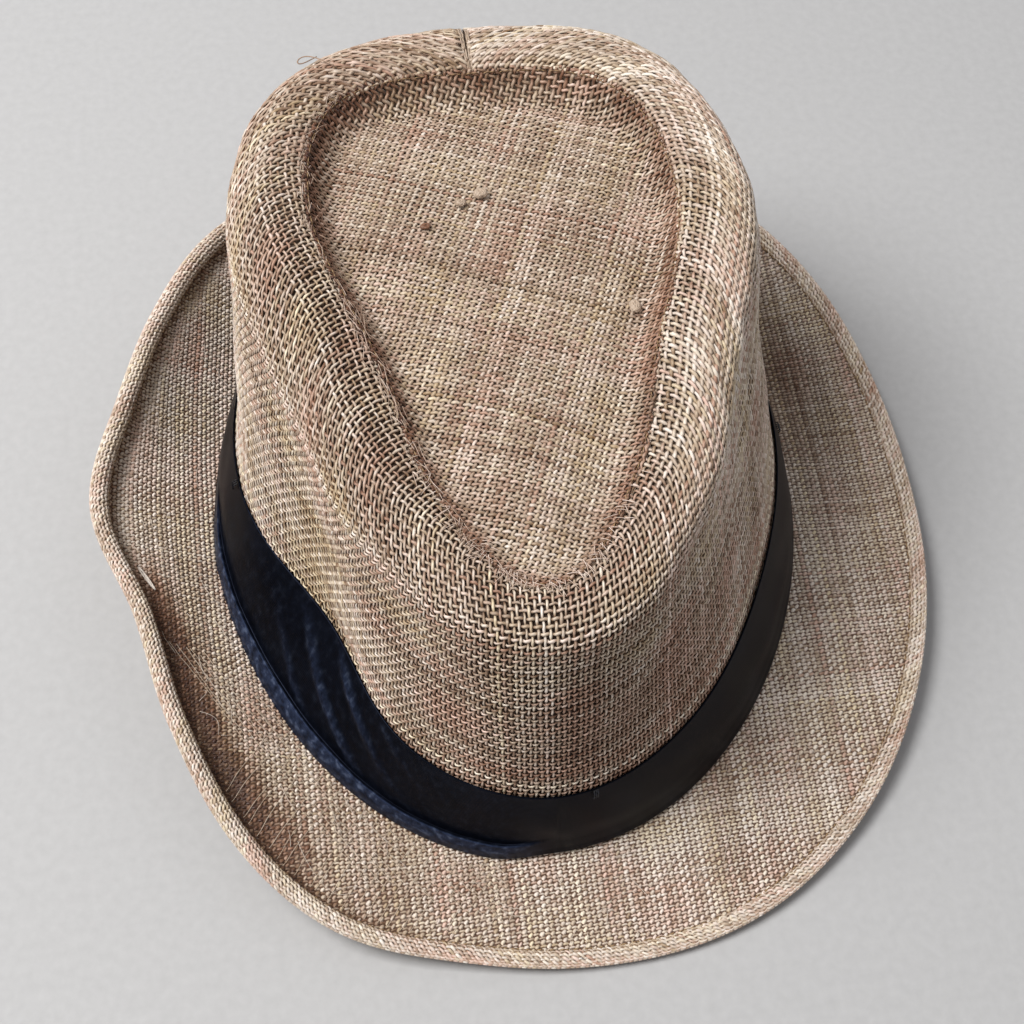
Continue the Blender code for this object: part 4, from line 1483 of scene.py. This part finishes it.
# %% [markdown]
# ## Floor, light and camera
# The hat stands on plain pale paper. One soft light comes from high on the left, a weak one fills
# the other side, and the sky is a dim even white.

# %% Pale paper floor
paper, paper_tree, paper_shader = new_material("pale_paper")
spot_at = add(paper_tree, "ShaderNodeTexCoord").outputs["Object"]
grain = add(paper_tree, "ShaderNodeTexNoise", {"Vector": spot_at, "Scale": 350.0, "Detail": 4.0})
paper_stops = ((0.2, "#B6B5B4"), (0.8, "#BFBEBD"))
shade = add(paper_tree, "ShaderNodeValToRGB", {"Fac": grain.outputs["Fac"]}, paper_stops)
paper_tree.links.new(shade.outputs["Color"], paper_shader.inputs["Base Color"])
paper_shader.inputs["Roughness"].default_value = 0.9
floor_mesh = bpy.data.meshes.new("paper_floor")
FLOOR = 2.5
floor_mesh.from_pydata(
    [(-FLOOR, -FLOOR, 0), (FLOOR, -FLOOR, 0), (FLOOR, FLOOR, 0), (-FLOOR, FLOOR, 0)], [], [(0, 1, 2, 3)]
)
floor_mesh.materials.append(paper)
floor = bpy.data.objects.new("paper_floor", floor_mesh)
floor.location.z = -0.0004
bpy.context.scene.collection.objects.link(floor)


# %% Soft lights
def soft_light(name, direction, distance, size, power, colour):
    """A large square light that looks at the hat."""
    data = bpy.data.lights.new(name, "AREA")
    data.size = size
    data.energy = power
    data.color = srgb(colour)[:3]
    made = bpy.data.objects.new(name, data)
    bpy.context.scene.collection.objects.link(made)
    way = unit(np.array(direction, float))
    made.location = way * distance
    made.rotation_euler = made.location.to_track_quat("Z", "Y").to_euler()
    return made


soft_light("window", (-0.5, 0.03, 0.865), 1.5, 0.7, 24, "#FFFFFF")
soft_light("room", (0.6, 0.5, 0.8), 1.8, 1.4, 2.5, "#F4F6FF")
sky = bpy.context.scene.world or bpy.data.worlds.new("studio")
bpy.context.scene.world = sky
sky.use_nodes = True
sky.node_tree.nodes["Background"].inputs["Color"].default_value = srgb("#FCFCFF")
sky.node_tree.nodes["Background"].inputs["Strength"].default_value = 0.33
bpy.context.scene.view_settings.view_transform = "Standard"

# %% Camera
CAMERA_TURN, CAMERA_LIFT, CAMERA_ROLL = math.radians(-11.09), math.radians(60.25), math.radians(3.61)
CAMERA_DISTANCE, CAMERA_LENS = 484.0, 62.5
aim = HEAD + np.array((-2.64, -23.55, 49.55))
back = np.array((
    math.sin(CAMERA_TURN) * math.cos(CAMERA_LIFT),
    -math.cos(CAMERA_TURN) * math.cos(CAMERA_LIFT),
    math.sin(CAMERA_LIFT),
))
level = np.array((math.cos(CAMERA_TURN), math.sin(CAMERA_TURN), 0.0))
upwards = np.cross(back, level)
right = level * math.cos(CAMERA_ROLL) + upwards * math.sin(CAMERA_ROLL)
upright = -level * math.sin(CAMERA_ROLL) + upwards * math.cos(CAMERA_ROLL)
camera_data = bpy.data.cameras.new("camera")
camera_data.lens = CAMERA_LENS
camera = bpy.data.objects.new("camera", camera_data)
bpy.context.scene.collection.objects.link(camera)
turned = np.eye(4)
turned[:3, 0], turned[:3, 1], turned[:3, 2] = right, upright, back
turned[:3, 3] = (aim + back * CAMERA_DISTANCE) * MM
camera.matrix_world = Matrix(turned.tolist())
bpy.context.scene.camera = camera
print("camera stands at mm:", (aim + back * CAMERA_DISTANCE).round(1).tolist())
